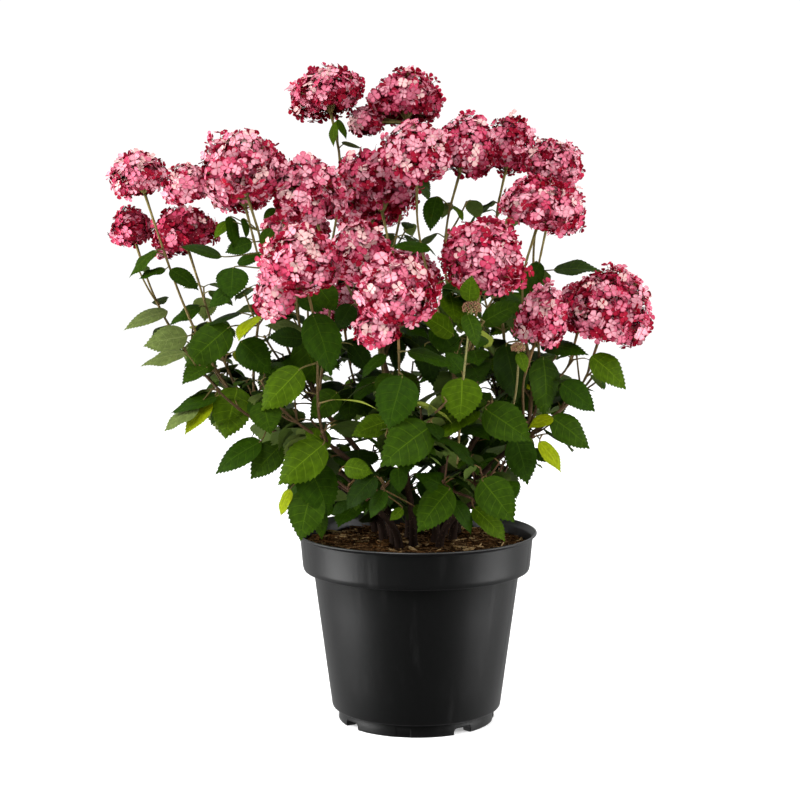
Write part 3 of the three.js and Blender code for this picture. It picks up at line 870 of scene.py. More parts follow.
@dataclass
class PottingMix:
    """Dark peat in the pot, with wood chips, crumbs and root fibres on it."""

    pot: Pot
    centre_z: float = 210
    flat_radius: float = 72
    edge_z: float = 205
    clearance: float = 0.42
    sectors: int = 180
    rings: int = 60
    chips: int = 480
    pale_share: float = 0.34
    chip_length: tuple[float, float] = (1.8, 15)
    crumbs: int = 1500
    crumb_size: tuple[float, float] = (0.7, 1.7)
    fibres: int = 520
    fibre_length: tuple[float, float] = (8, 22)
    fibre_points: int = 6
    seed: int = 11

    @property
    def edge_radius(self) -> float:
        """The radius where the mix meets the pot's inner wall."""
        pot = self.pot
        low, high = pot.band_foot_z + pot.inner_rise, pot.height - pot.lip_depth - pot.wall
        share = (self.edge_z - low) / (high - low)
        widening = share * (pot.band_top_radius - pot.band_foot_radius)
        return pot.band_foot_radius - pot.wall + widening - self.clearance

    def level(self, spots: Array) -> Array:
        """Give the height of the mix's top at places in plan.

        It is level in the middle and falls to the rim by a smooth step, with two noises on it.
        """
        radius = np.linalg.norm(spots[..., :2], axis=-1)
        share = np.clip((radius - self.flat_radius) / (self.edge_radius - self.flat_radius), 0, 1)
        fall = (self.centre_z - self.edge_z) * share * share * (3 - 2 * share)
        plan = spots * [1, 1, 0]
        rough = 1.5 * smooth_noise(plan / 14, 3) + 0.8 * smooth_noise(plan / 4.5, 5)
        return self.centre_z - fall + rough * np.clip(radius / 20, 0.2, 1)

    def _body(self) -> Surface:
        """The body of the mix: the pot's inner profile with the uneven top over it."""
        pot, gap = self.pot, self.clearance
        floor = pot.wall_foot_z + pot.wall + gap
        wall = np.array([
            (pot.axis_gap, floor), (pot.wall_foot_radius - pot.wall - gap, floor),
            (pot.step_radius - pot.wall - gap, pot.step_z + pot.wall + gap),
            (pot.band_foot_radius - pot.wall - gap, pot.band_foot_z + pot.inner_rise + gap),
            (self.edge_radius, self.edge_z - 1.6),
        ])
        angles = full_turn(self.sectors)
        top = np.linspace(self.edge_radius, 0.8, self.rings)[:, None]
        wall_height = np.repeat(wall[:, 1:], self.sectors, axis=1)
        radius = np.repeat(np.concatenate([wall[:, :1], top]), self.sectors, axis=1)
        height = np.concatenate([wall_height, self.level(ring_points(angles, top))])
        return revolved(radius, height, angles)

    def _scatter(self, count: int, rng: np.random.Generator) -> tuple[Array, Array]:
        """Give places spread evenly over the top, and turned axes that lie nearly flat on it."""
        radius = (self.edge_radius - 5) * np.sqrt(rng.random(count))
        spots = ring_points(2 * np.pi * rng.random(count), radius)
        spots[:, 2] = self.level(spots)
        up = unit(UP + 0.45 * (rng.random((count, 3)) - 0.5) * np.array([1, 1, 0]))
        side = unit(np.cross(up, ring_points(2 * np.pi * rng.random(count))))
        return spots, np.stack([np.cross(side, up), side, up], axis=1)

    @staticmethod
    def _slab(sides: int, rng: np.random.Generator) -> Surface:
        """A chip: an uneven polygon with a top and an underside, both fans from their middle."""
        angle = 2 * np.pi * (np.arange(sides) + 0.5 * rng.random(sides)) / sides
        rim = ring_points(angle, 0.75 + 0.4 * rng.random(sides))
        points = np.concatenate([
            rim + [0, 0, 0.5], rim * 0.92 - [0, 0, 0.5], [[0, 0, 0.62]], [[0, 0, -0.5]],
        ])
        around = np.arange(sides)
        following = (around + 1) % sides
        faces = np.concatenate([
            triangles(2 * sides, around, following),
            triangles(2 * sides + 1, sides + following, sides + around),
            triangles(around, sides + around, sides + following),
            triangles(around, sides + following, following),
        ])
        return Surface(points, faces, (points[faces][..., :2] + 1.2) / 2.4)

    def _fibre_lines(self, rng: np.random.Generator) -> Surface:
        """Root fibres: thin tubes along short bowed lines that rest on the mix."""
        spots, axes = self._scatter(self.fibres, rng)
        steps = np.linspace(-0.5, 0.5, self.fibre_points)
        length = self.fibre_length[0] + self.fibre_length[1] * rng.random(self.fibres)
        bow = (rng.random(self.fibres) - 0.5) * 0.6
        lines = spots[:, None] + axes[:, None, 0] * (length[:, None] * steps)[..., None]
        sideways = (length * bow)[:, None] * (steps ** 2 * 4 - 1)
        lines = lines + axes[:, None, 1] * sideways[..., None]
        lines = lines[np.linalg.norm(lines[..., :2], axis=-1).max(axis=1) < self.edge_radius - 2]
        lines[..., 2] = self.level(lines) + 0.5 + rng.random((len(lines), 1))
        radii = (0.22 + 0.3 * rng.random((len(lines), 1))) * np.ones((1, self.fibre_points))
        return tubes(lines, radii, 3)

    def build(self, effects: Effects) -> None:
        """Build the mix, its chips, its crumbs and its fibres."""
        rng = np.random.default_rng(self.seed)
        add_piece("mix_body", self._body(), PEAT.make(effects), ["soil"])
        short, further = self.chip_length
        kinds = (("pale", self.pale_share, PALE_CHIP), ("brown", 1 - self.pale_share, BROWN_CHIP))
        for label, share, finish in kinds:
            count = int(self.chips * share)
            spots, axes = self._scatter(count, rng)
            long = short + further * rng.random(count) ** 3
            wide = long * (0.14 + 0.24 * rng.random(count))
            scales = np.stack([long, wide, 0.8 + rng.random(count)], axis=1)
            chips = self._slab(7, rng).spread(spots + [0, 0, 0.5], axes, scales)
            add_piece(f"mix_chips_{label}", chips, finish.make(effects), smooth=False)
        spots, axes = self._scatter(self.crumbs, rng)
        small, further = self.crumb_size
        sizes = small + further * rng.random((self.crumbs, 3)) ** 2
        crumbs = self._slab(5, rng).spread(spots, axes, sizes * [1, 1, 1.3])
        add_piece("mix_crumbs", crumbs, CRUMB.make(effects), smooth=False)
        add_piece("mix_fibres", self._fibre_lines(rng), FIBRE.make(effects))


# ---------------------------------------------------------------- the plant's plan


@dataclass(frozen=True)
class Bloom:
    """A flower head: its middle, width and height, its tone, and a lobe's offset and size."""

    at: Point
    size: tuple[float, float]
    tone: Tone
    lobe: tuple[float, float, float, float, float] | None = None

    def domes(self, centre: Array) -> list[tuple[Array, float, float]]:
        """Give the middle, the width and the height of the head, and of its lobe if it has one."""
        lobes = [(centre + self.lobe[:3], *self.lobe[3:])] if self.lobe else []
        return [(centre, *self.size), *lobes]


@dataclass(frozen=True)
class Bough:
    """A woody bough, the heads that its shoots carry, and the tips of its leafy shoots."""

    name: str
    foot: tuple[float, float]
    tip: Point
    blooms: tuple[Bloom, ...] = ()
    leafy: tuple[Point, ...] = ()


BRIGHT, MID, DEEP = Tone.BRIGHT, Tone.MID, Tone.DEEP
BOUGHS = (
    Bough("left", (-38, -6), (-150, -6, 330), (
        Bloom((-320, 20, 632), (69, 58), BRIGHT),
        Bloom((-198, -60, 638), (95, 82), BRIGHT, (-57, 0, -16, 56, 50)),
        Bloom((-337, 70, 570), (52, 50), DEEP),
        Bloom((-274, 50, 567), (82, 62), DEEP),
    ), ((-250, -52, 420), (-232, 60, 400))),
    Bough("left_back", (-30, 24), (-100, 80, 340), (
        Bloom((-107, 104, 731), (90, 66), MID),
        Bloom((-173, 40, 636), (60, 76), DEEP),
        Bloom((-215, 150, 622), (84, 74), BRIGHT),
        Bloom((-150, 205, 566), (88, 76), MID),
    ), ((-186, 130, 440),)),
    Bough("front_left", (-26, -30), (-86, -76, 322), (
        Bloom((-124, -150, 537), (90, 77), BRIGHT, (-30, 0, -37, 46, 47)),
        Bloom((-122, -40, 610), (83, 84), BRIGHT),
    ), ((-158, -120, 390), (-110, -170, 400))),
    Bough("front", (-4, -42), (-16, -104, 310), (
        Bloom((-61, -92, 543), (70, 79), MID),
        Bloom((-23, -180, 509), (88, 82), BRIGHT, (-21, 0, -38, 50, 42)),
    ), ((-36, -186, 372), (22, -176, 392))),
    Bough("middle", (-8, 12), (-34, 44, 400), (
        Bloom((-12, 120, 724), (94, 67), MID, (-48, 0, -24, 46, 38)),
        Bloom((-47, 50, 622), (102, 88), MID),
        Bloom((-60, 192, 600), (92, 78), MID),
    ), ((-92, 120, 520), (26, 118, 500))),
    Bough("middle_right", (22, -22), (38, -46, 352), (
        Bloom((0, -32, 655), (84, 70), BRIGHT),
        Bloom((72, -140, 541), (90, 90), BRIGHT),
        Bloom((58, 30, 663), (72, 78), MID),
    ), ((98, -150, 402), (92, 26, 494))),
    Bough("right", (42, -4), (104, -28, 318), (
        Bloom((142, -40, 596), (98, 67), MID),
        Bloom((160, 30, 646), (72, 58), BRIGHT),
        Bloom((139, -72, 473), (60, 78), BRIGHT),
        Bloom((217, -40, 482), (99, 94), BRIGHT),
    ), ((178, -104, 370), (208, 30, 400))),
    Bough("right_back", (32, 28), (86, 82, 338), (
        Bloom((114, 110, 668), (66, 76), DEEP),
        Bloom((168, 172, 598), (84, 68), MID),
        Bloom((204, 122, 470), (84, 72), MID),
        Bloom((76, 204, 540), (88, 74), BRIGHT),
    ), ((156, 150, 400),)),
    Bough("back", (4, 44), (-42, 116, 318), (
        Bloom((-8, 236, 506), (86, 74), BRIGHT),
        Bloom((-92, 190, 470), (76, 66), MID),
    ), ((-60, 206, 400), (30, 190, 420))),
    Bough("skirt_front_left", (-20, -52), (-50, -82, 262), (),
          ((-114, -74, 318), (-86, -112, 308), (-38, -124, 296))),
    Bough("skirt_front_right", (26, -50), (56, -78, 262), (),
          ((114, -74, 312), (76, -118, 304), (28, -118, 298))),
    Bough("skirt_back_right", (48, 42), (88, 72, 260), (),
          ((122, 56, 314), (96, 104, 308), (44, 116, 298))),
    Bough("skirt_back_left", (-48, 42), (-88, 70, 260), (),
          ((-122, 46, 312), (-96, 104, 306), (-50, 118, 300))),
)


@dataclass(frozen=True)
class Bud:
    """A green-pink bud head on its own thin stem, from the stem's foot by its bend to the head."""

    foot: Point
    bend: Point
    head: Point
    size: tuple[float, float]

    @property
    def curve(self) -> Curve:
        """The stem's line."""
        return Curve(np.array([self.foot, self.bend, self.head], dtype=float))


BUDS = (
    Bud((44, -112, 312), (46, -158, 410), (56, -190, 490), (19, 15)),
    Bud((103, -40, 352), (112, -104, 390), (109, -120, 443), (14, 11)),
)


class Green(Enum):
    """The greens that a leaf can take. SHADE is painted shade: a green darker than any leaf's own,
    standing in for the shade on leaves deep in the crown.
    """

    SHADE = 0
    DARK = 1
    MID = 2
    FRESH = 3
    LIME = 4
    SAGE = 5


SHADE, DARK, MID_GREEN, FRESH, LIME, SAGE = Green


class Layer(Enum):
    """Rough depths of the shoots behind the front's leaves, in millimetres."""

    FRONT = -190
    MIDDLE = -60
    BACK = 60


FRONT, MIDDLE, BACK = Layer
# The large leaves of the plant's front: base and tip across and down the front view, seen width, the
# layer of the shoot or the leaf's own depth in millimetres, and green. Each green was matched to how
# light or dark its leaf looks, so it holds painted light and shade as well as the leaf's own green.
FRONT_LEAVES = (
    ((168, 311), (122, 325), 15, MIDDLE, SAGE), ((201, 306), (168, 321), 13, MIDDLE, DARK),
    ((188, 336), (143, 343), 28, MIDDLE, SAGE), ((186, 353), (140, 362), 13, MIDDLE, SAGE),
    ((230, 326), (184, 367), 38, MIDDLE, MID_GREEN), ((240, 341), (272, 371), 34, FRONT, DARK),
    ((301, 368), (262, 411), 33, FRONT, FRESH), ((238, 387), (223, 438), 43, FRONT, FRESH),
    ((262, 401), (271, 433), 31, FRONT, MID_GREEN), ((218, 396), (172, 409), 15, MIDDLE, DARK),
    ((212, 401), (181, 431), 17, MIDDLE, LIME), ((200, 404), (162, 428), 15, MIDDLE, SAGE),
    ((262, 441), (212, 469), 25, MIDDLE, DARK), ((282, 444), (248, 477), 31, MIDDLE, MID_GREEN),
    ((325, 443), (277, 483), 39, FRONT, FRESH), ((308, 464), (330, 514), 42, FRONT, DARK),
    ((312, 489), (298, 540), 38, FRONT, MID_GREEN), ((316, 504), (323, 539), 17, MIDDLE, MID_GREEN),
    ((290, 489), (278, 515), 11, MIDDLE, LIME), ((338, 392), (310, 419), 28, MIDDLE, MID_GREEN),
    ((330, 447), (306, 428), 22, MIDDLE, FRESH), ((312, 313), (336, 374), 36, FRONT, DARK),
    ((302, 338), (322, 385), 40, MIDDLE, MID_GREEN), ((302, 331), (266, 323), 16, MIDDLE, SAGE),
    ((304, 339), (268, 336), 20, MIDDLE, SHADE), ((352, 304), (337, 331), 22, MIDDLE, SHADE),
    ((403, 375), (388, 429), 42, FRONT, DARK), ((431, 426), (378, 463), 43, FRONT, MID_GREEN),
    ((388, 421), (351, 433), 23, MIDDLE, FRESH), ((462, 377), (462, 422), 40, -158, FRESH),
    ((484, 408), (531, 441), 38, FRONT, MID_GREEN), ((454, 335), (419, 311), 21, FRONT, FRESH),
    ((481, 323), (523, 301), 22, MIDDLE, MID_GREEN), ((543, 356), (549, 416), 30, FRONT, MID_GREEN),
    ((561, 383), (597, 409), 27, MIDDLE, DARK), ((591, 356), (629, 386), 27, MIDDLE, FRESH),
    ((551, 417), (592, 446), 28, MIDDLE, MID_GREEN), ((515, 436), (531, 484), 33, MIDDLE, DARK),
    ((539, 441), (563, 471), 15, MIDDLE, LIME), ((553, 417), (529, 427), 13, MIDDLE, LIME),
    ((481, 479), (515, 521), 38, FRONT, MID_GREEN), ((451, 488), (415, 529), 35, FRONT, MID_GREEN),
    ((473, 507), (507, 539), 21, FRONT, FRESH), ((453, 491), (418, 471), 21, MIDDLE, DARK),
    ((453, 500), (473, 533), 16, MIDDLE, DARK), ((376, 475), (345, 508), 22, MIDDLE, SHADE),
    ((344, 466), (372, 471), 21, FRONT, FRESH), ((385, 490), (369, 517), 16, MIDDLE, DARK),
    ((398, 467), (400, 493), 18, MIDDLE, DARK), ((424, 344), (434, 385), 27, MIDDLE, SHADE),
    ((505, 343), (520, 403), 36, MIDDLE, SHADE), ((553, 270), (604, 267), 14, BACK, MID_GREEN),
    ((533, 301), (520, 261), 22, BACK, DARK), ((432, 324), (462, 357), 28, MIDDLE, DARK),
    ((407, 351), (455, 363), 13, MIDDLE, DARK), ((352, 344), (370, 373), 22, MIDDLE, SHADE),
    ((386, 354), (361, 376), 12, MIDDLE, DARK), ((400, 339), (393, 371), 17, MIDDLE, SHADE),
    ((228, 221), (213, 237), 10, MIDDLE, FRESH), ((229, 216), (236, 248), 13, MIDDLE, DARK),
    ((243, 218), (248, 238), 7, MIDDLE, DARK), ((222, 257), (181, 242), 11, MIDDLE, DARK),
    ((157, 250), (126, 274), 10, MIDDLE, MID_GREEN), ((166, 269), (138, 276), 8, MIDDLE, DARK),
    ((170, 269), (199, 288), 17, MIDDLE, DARK), ((233, 267), (231, 298), 33, MIDDLE, DARK),
    ((252, 242), (225, 251), 17, MIDDLE, DARK), ((272, 229), (260, 246), 14, MIDDLE, MID_GREEN),
    ((275, 208), (263, 218), 8, BACK, MID_GREEN), ((237, 263), (264, 253), 12, BACK, DARK),
    ((232, 288), (208, 306), 16, MIDDLE, DARK), ((336, 121), (331, 146), 9, BACK, FRESH),
    ((338, 119), (348, 138), 7, BACK, MID_GREEN), ((317, 285), (336, 311), 27, MIDDLE, MID_GREEN),
    ((299, 296), (323, 311), 20, MIDDLE, DARK), ((437, 196), (428, 230), 21, BACK, DARK),
    ((431, 249), (391, 243), 11, BACK, DARK), ((540, 262), (522, 296), 20, BACK, DARK),
    ((208, 367), (181, 381), 12, MIDDLE, MID_GREEN), ((345, 385), (300, 395), 14, BACK, SHADE),
    ((469, 302), (471, 276), 19, -192, FRESH), ((467, 313), (479, 346), 17, -190, MID_GREEN),
    ((519, 352), (527, 372), 12, -118, FRESH), ((462, 372), (446, 352), 18, -150, DARK),
)
# The small leaves low on the front boughs, in millimetres: base, tip, seen width and green. The SHADE
# ones are painted shade: dark leaves over the boughs' feet under the crown.
LOW_LEAVES = (
    ((-68, -115, 282), (-67, -122, 264), 13, MID_GREEN),
    ((-34, -115, 273), (-50, -121, 266), 10, MID_GREEN),
    ((-16, -115, 266), (-30, -121, 254), 12, FRESH),
    ((-4, -115, 269), (15, -121, 254), 14, MID_GREEN),
    ((-76, -105, 272), (-96, -111, 260), 12, SHADE),
    ((16, -112, 283), (8, -118, 258), 15, DARK),
    ((-49, -105, 298), (-45, -111, 270), 18, SHADE),
    ((-27, -105, 298), (-32, -111, 267), 18, SHADE),
    ((6, -105, 298), (13, -111, 268), 18, SHADE),
    ((-67, -105, 296), (-60, -111, 267), 18, SHADE),
)


@dataclass(frozen=True)
class FrontView:
    """The crown as it stands from the front: its outline and the openings where the sky shows.

    Both are read at places across and down a view of 800 by 800, and are carried to the upright
    plane through the plant's middle, as is any point that is set against them.
    """

    eye: Point = (-19.1, -2072, 594)
    pitch: float = 0.106
    lens: float = 1803.4  # in the view's own places
    middle: float = 400
    floor_place: float = 529
    edge_slack: float = 3
    left: tuple[tuple[float, float], ...] = (
        (60, 300), (105, 289), (120, 290), (140, 205), (155, 128), (190, 108), (235, 110), (265, 124),
        (278, 138), (295, 165), (310, 140), (322, 116), (345, 139), (362, 141), (380, 180), (398, 178),
        (410, 168), (428, 160), (440, 218), (455, 222), (468, 210), (476, 245), (484, 274), (515, 277),
        (530, 285),
    )  # down and across
    right: tuple[tuple[float, float], ...] = (
        (60, 425), (105, 500), (130, 534), (150, 570), (175, 587), (230, 587), (245, 560), (258, 604),
        (275, 640), (300, 652), (320, 652), (345, 622), (383, 631), (405, 600), (447, 593), (470, 563),
        (484, 533), (500, 516), (530, 508),
    )
    openings: tuple[tuple[float, float, float], ...] = (
        (330, 153, 18), (145, 292, 12), (168, 288, 7), (192, 298, 7), (208, 285, 6), (162, 260, 6),
        (185, 260, 5), (206, 260, 5), (252, 216, 9), (270, 222, 4), (251, 248, 5), (293, 308, 5),
        (342, 215, 6), (140, 333, 5), (222, 346, 6), (233, 346, 4), (205, 384, 7), (226, 374, 5),
        (275, 350, 10), (290, 353, 7), (293, 406, 9), (310, 392, 9), (350, 374, 8), (339, 344, 4),
        (368, 354, 6), (388, 366, 5), (247, 430, 6), (368, 452, 8), (380, 468, 6), (343, 498, 9),
        (355, 507, 5), (320, 458, 5), (405, 362, 8), (430, 385, 4), (427, 396, 6), (484, 393, 7),
        (450, 358, 5), (472, 478, 5), (560, 370, 7), (587, 373, 11), (573, 406, 7), (545, 434, 7),
        (525, 410, 6), (510, 463, 10), (552, 346, 6), (417, 176, 5), (475, 192, 10), (493, 190, 11),
        (451, 200, 6), (395, 233, 6), (414, 208, 7), (428, 257, 5), (560, 245, 13), (545, 265, 7),
        (557, 277, 4), (510, 270, 6), (524, 292, 4), (437, 300, 6), (484, 308, 5), (430, 238, 5),
    )  # across, down and radius

    def point(self, places: Array, depth: Array | float) -> Array:
        """Carry places of the view back along their lines of sight.

        A place's slope is its height over the view's middle, over the lens. The point rises by its
        distance from the eye times the slope, turned by the pitch, and stands aside by its place's
        offset times its distance along the view's axis, over the lens.

        Args:
            places: (n, 2) places across and down the view.
            depth: y of the upright plane that each line is cut by, in millimetres.

        Returns:
            (n, 3) points, in millimetres.
        """
        away = depth - self.eye[1] + np.zeros(len(places))
        slope = (self.middle - places[:, 1]) / self.lens
        cosine, sine = math.cos(self.pitch), math.sin(self.pitch)
        rise = away * (slope * cosine - sine) / (cosine + slope * sine)
        aside = (places[:, 0] - self.middle) * (away * cosine - rise * sine) / self.lens
        return np.stack([aside, away, rise], axis=-1) + self.eye

    def _edge(self, side: tuple[tuple[float, float], ...], height: Array) -> Array:
        """Give x of one side of the outline at these heights in the plant's middle plane."""
        spots = self.point(np.array(side)[::-1, ::-1], 0)
        return np.interp(height, spots[:, 2], spots[:, 0])

    def seen(self, points: Array) -> Array:
        """Carry points to the plane along their lines of sight, and give their x and z there."""
        eye = np.array(self.eye)
        share = -eye[1] / (points[..., 1] - eye[1])
        return (eye + (points - eye) * share[..., None])[..., [0, 2]]

    def in_crown(self, points: Array) -> Array:
        """Say which of the points stand inside the outline and in none of the openings."""
        spots = self.seen(points)
        across, height = spots[..., 0], spots[..., 1]
        foot = self.point(np.array([[self.middle, self.floor_place]]), 0)[0, 2]
        inside = across > self._edge(self.left, height) - self.edge_slack
        inside &= across < self._edge(self.right, height) + self.edge_slack
        circles = np.array(self.openings, dtype=float)
        centres = self.point(circles[:, :2], 0)
        radius = circles[:, 2] * -self.eye[1] / self.lens
        gap = np.hypot(across[..., None] - centres[:, 0], height[..., None] - centres[:, 2]) - radius
        return inside & (height > foot) & (gap > 1).all(axis=-1)


@dataclass(frozen=True)
class Shoot:
    """A green shoot from its fork to its tip, with what its leaves need."""

    curve: Curve
    axis: Array
    seed: int
    phase: float
    pairs: int
    leaf_scale: float
    radii: tuple[float, float]
    owner: str
    blooming: bool


Grown = tuple[Shoot, Array]  # a shoot with the shares of its length where its leaves sit


@dataclass
class Leaves:
    """Where leaves sit and how they hang, as arrays with one row to a leaf."""

    root: Array
    stalk: Array
    blade: Array
    wide: Array
    face: Array
    length: Array
    width: Array
    base: Array
    seed: Array
    green: Array  # the number of its Green, or -1 where chance deals it

    def pick(self, chosen: Array) -> "Leaves":
        """Give the chosen leaves."""
        return Leaves(*(getattr(self, name)[chosen] for name in self.__dataclass_fields__))

    @staticmethod
    def join(parts: Sequence["Leaves"]) -> "Leaves":
        """Join sets of leaves into one."""
        names = Leaves.__dataclass_fields__
        return Leaves(*(np.concatenate([getattr(part, name) for part in parts]) for name in names))

    def tips(self, sag: float) -> Array:
        """Give the blades' tips, which hang below the blade's line by a share of its length."""
        return self.base + self.blade * self.length[:, None] - self.face * (sag * self.length)[:, None]


@dataclass
class Plan:
    """The plant's growth rule, as in the part's own source, in millimetres."""

    ground: float = 210.3  # where the boughs' flat feet stand
    knee: float = 0.5
    bough_radii: tuple[float, float] = (4.6, 3.0)
    stem_length: float = 16
    fork_at: float = 9
    touch_gap: float = 0.3
    shoot_radii: tuple[float, float] = (1.9, 1.25)
    shoot_steps: int = 4
    start_bend: float = 0.3
    end_bend: float = 0.34
    neck_length: float = 26
    bloom_lean: float = 0.32
    leafy_lean: float = 0.7
    crown_share: float = 0.58
    pairs: int = 3
    skirt_pairs: int = 2
    leaf_length: float = 64
    leaf_width: float = 0.72
    top_shrink: float = 0.44
    leaf_spread: float = 0.34
    petiole: float = 0.3
    tip_sag: float = 0.13
    droop: tuple[float, float] = (4, 50)
    roll: float = 24
    rise: float = 0.5

    def bough_curve(self, bough: Bough) -> Curve:
        """The bough's line: upright from its foot, then leaning to its tip."""
        start = np.array([*bough.foot, self.ground])
        end = np.array(bough.tip, dtype=float)
        return Curve(np.stack([start, start + UP * (end[2] - start[2]) * self.knee, end]))

    def bloom_frame(self, bloom: Bloom) -> tuple[Array, Array, Array]:
        """Give a head's axis, the centre of its widest ring, and the start of its neck."""
        middle = np.array(bloom.at, dtype=float)
        axis = unit(unit(middle * [1, 1, 0]) * self.bloom_lean + UP)
        height = bloom.size[1]
        centre = middle + axis * height * (0.5 - self.crown_share)
        return axis, centre, middle - axis * (height / 2 + self.neck_length)

    def shoot_curve(self, fork: Array, heading: Array, end: Array, axis: Array) -> Curve:
        """The shoot's line: along the bough's heading first, and along its own axis at its end."""
        reach = float(np.linalg.norm(end - fork))
        near, far = fork + heading * reach * self.start_bend, end - axis * reach * self.end_bend
        return Curve(np.stack([fork, near, far, end]))

    def shoots(self, index: int) -> list[Shoot]:
        """Give all the shoots of one bough, the flowering ones first."""
        bough = BOUGHS[index]
        curve = self.bough_curve(bough)
        heading = curve.tangent(1)[0]
        fork = curve.at(1)[0] + heading * self.fork_at
        skirt = not bough.blooms
        ends = []
        for bloom in bough.blooms:
            axis, _, neck_start = self.bloom_frame(bloom)
            ends.append((neck_start - axis * self.touch_gap, axis, self.pairs, 1.0, True))
        for tip in bough.leafy:
            end = np.array(tip, dtype=float)
            axis = unit(unit(end * [1, 1, 0]) * self.leafy_lean + UP)
            pairs, leaf_scale = (self.skirt_pairs, 1.16) if skirt else (self.pairs, 1.06)
            ends.append((end, axis, pairs, leaf_scale, False))
        made = []
        for i, (end, axis, pairs, leaf_scale, blooming) in enumerate(ends):
            seed = (index + 1) * 16 + i
            made.append(Shoot(
                self.shoot_curve(fork, heading, end, axis), axis, seed,
                float(between(0, math.pi, seed, 11)[0]), pairs, leaf_scale, self.shoot_radii,
                f"leaves_{bough.name}", blooming,
            ))
        return made

    def leaves(
        self, shoot: Shoot, pair: Array, rank: Array, side: Array,
        turn: Array | float = 0.0, scale: Array | float = 1.0, place: Array | None = None,
    ) -> tuple[Leaves, Array]:
        """Place leaves on a shoot.

        A pair sits at its share of the shoot and is turned a quarter turn from the pair below, and
        its two leaves face each other. A leaf heads outwards, droops and rolls by its own chances,
        and shrinks towards the shoot's tip.

        Args:
            shoot: what carries them.
            pair: the pair of each leaf, which may lie between two whole pairs.
            rank: a whole number for the chances of each leaf's pair.
            side: 0 or 1.
            turn: a further turn round the shoot, in degrees.
            scale: a further scale.
            place: shares of the shoot's length, where they aren't the rule's own.

        Returns:
            The leaves, and their shares of the shoot's length.
        """
        seed = shoot.seed * 64 + rank * 2 + side
        if place is None:
            jitter = between(-0.18, 0.18, shoot.seed, rank + 40)
            place = np.clip((pair + 0.62 + jitter) / shoot.pairs, 0.06, 0.97)
        root = shoot.curve.chord_point(self.shoot_steps, place)
        tangent = shoot.curve.tangent(place)
        across = unit(np.cross(tangent, UP))
        ahead = unit(np.cross(across, tangent))
        angle = shoot.phase + pair * np.pi / 2 + side * np.pi + between(-0.4, 0.4, seed, 1)
        angle = angle + np.radians(turn)
        outward = across * np.cos(angle)[:, None] + ahead * np.sin(angle)[:, None]
        outward = unit(outward * [1, 1, 0.35])
        heading = unit(outward * [1, 1, 0])
        droop = np.radians(between(*self.droop, seed, 2))[:, None]
        shrink = 1 - self.top_shrink * np.clip(pair / max(shoot.pairs - 1, 1), 0, 1) ** 1.4
        spread = self.leaf_spread / 2
        size = shoot.leaf_scale * shrink * between(1 - spread, 1 + spread, seed, 3)
        length = self.leaf_length * size * scale
        blade = heading * np.cos(droop) - UP * np.sin(droop)
        roll = np.radians(between(-self.roll, self.roll, seed, 4))[:, None]
        level = np.cross(UP, heading)
        wide = level * np.cos(roll) + np.cross(blade, level) * np.sin(roll)
        stalk = unit(outward + tangent * self.rise)
        return Leaves(
            root=shoot.curve.at(place), stalk=stalk, blade=blade, wide=wide,
            face=np.cross(blade, wide), length=length,
            width=length * self.leaf_width * between(0.88, 1.12, seed, 5),
            base=root + stalk * (length * self.petiole)[:, None], seed=seed,
            green=np.full(len(seed), -1),
        ), place


# ---------------------------------------------------------------- limbs


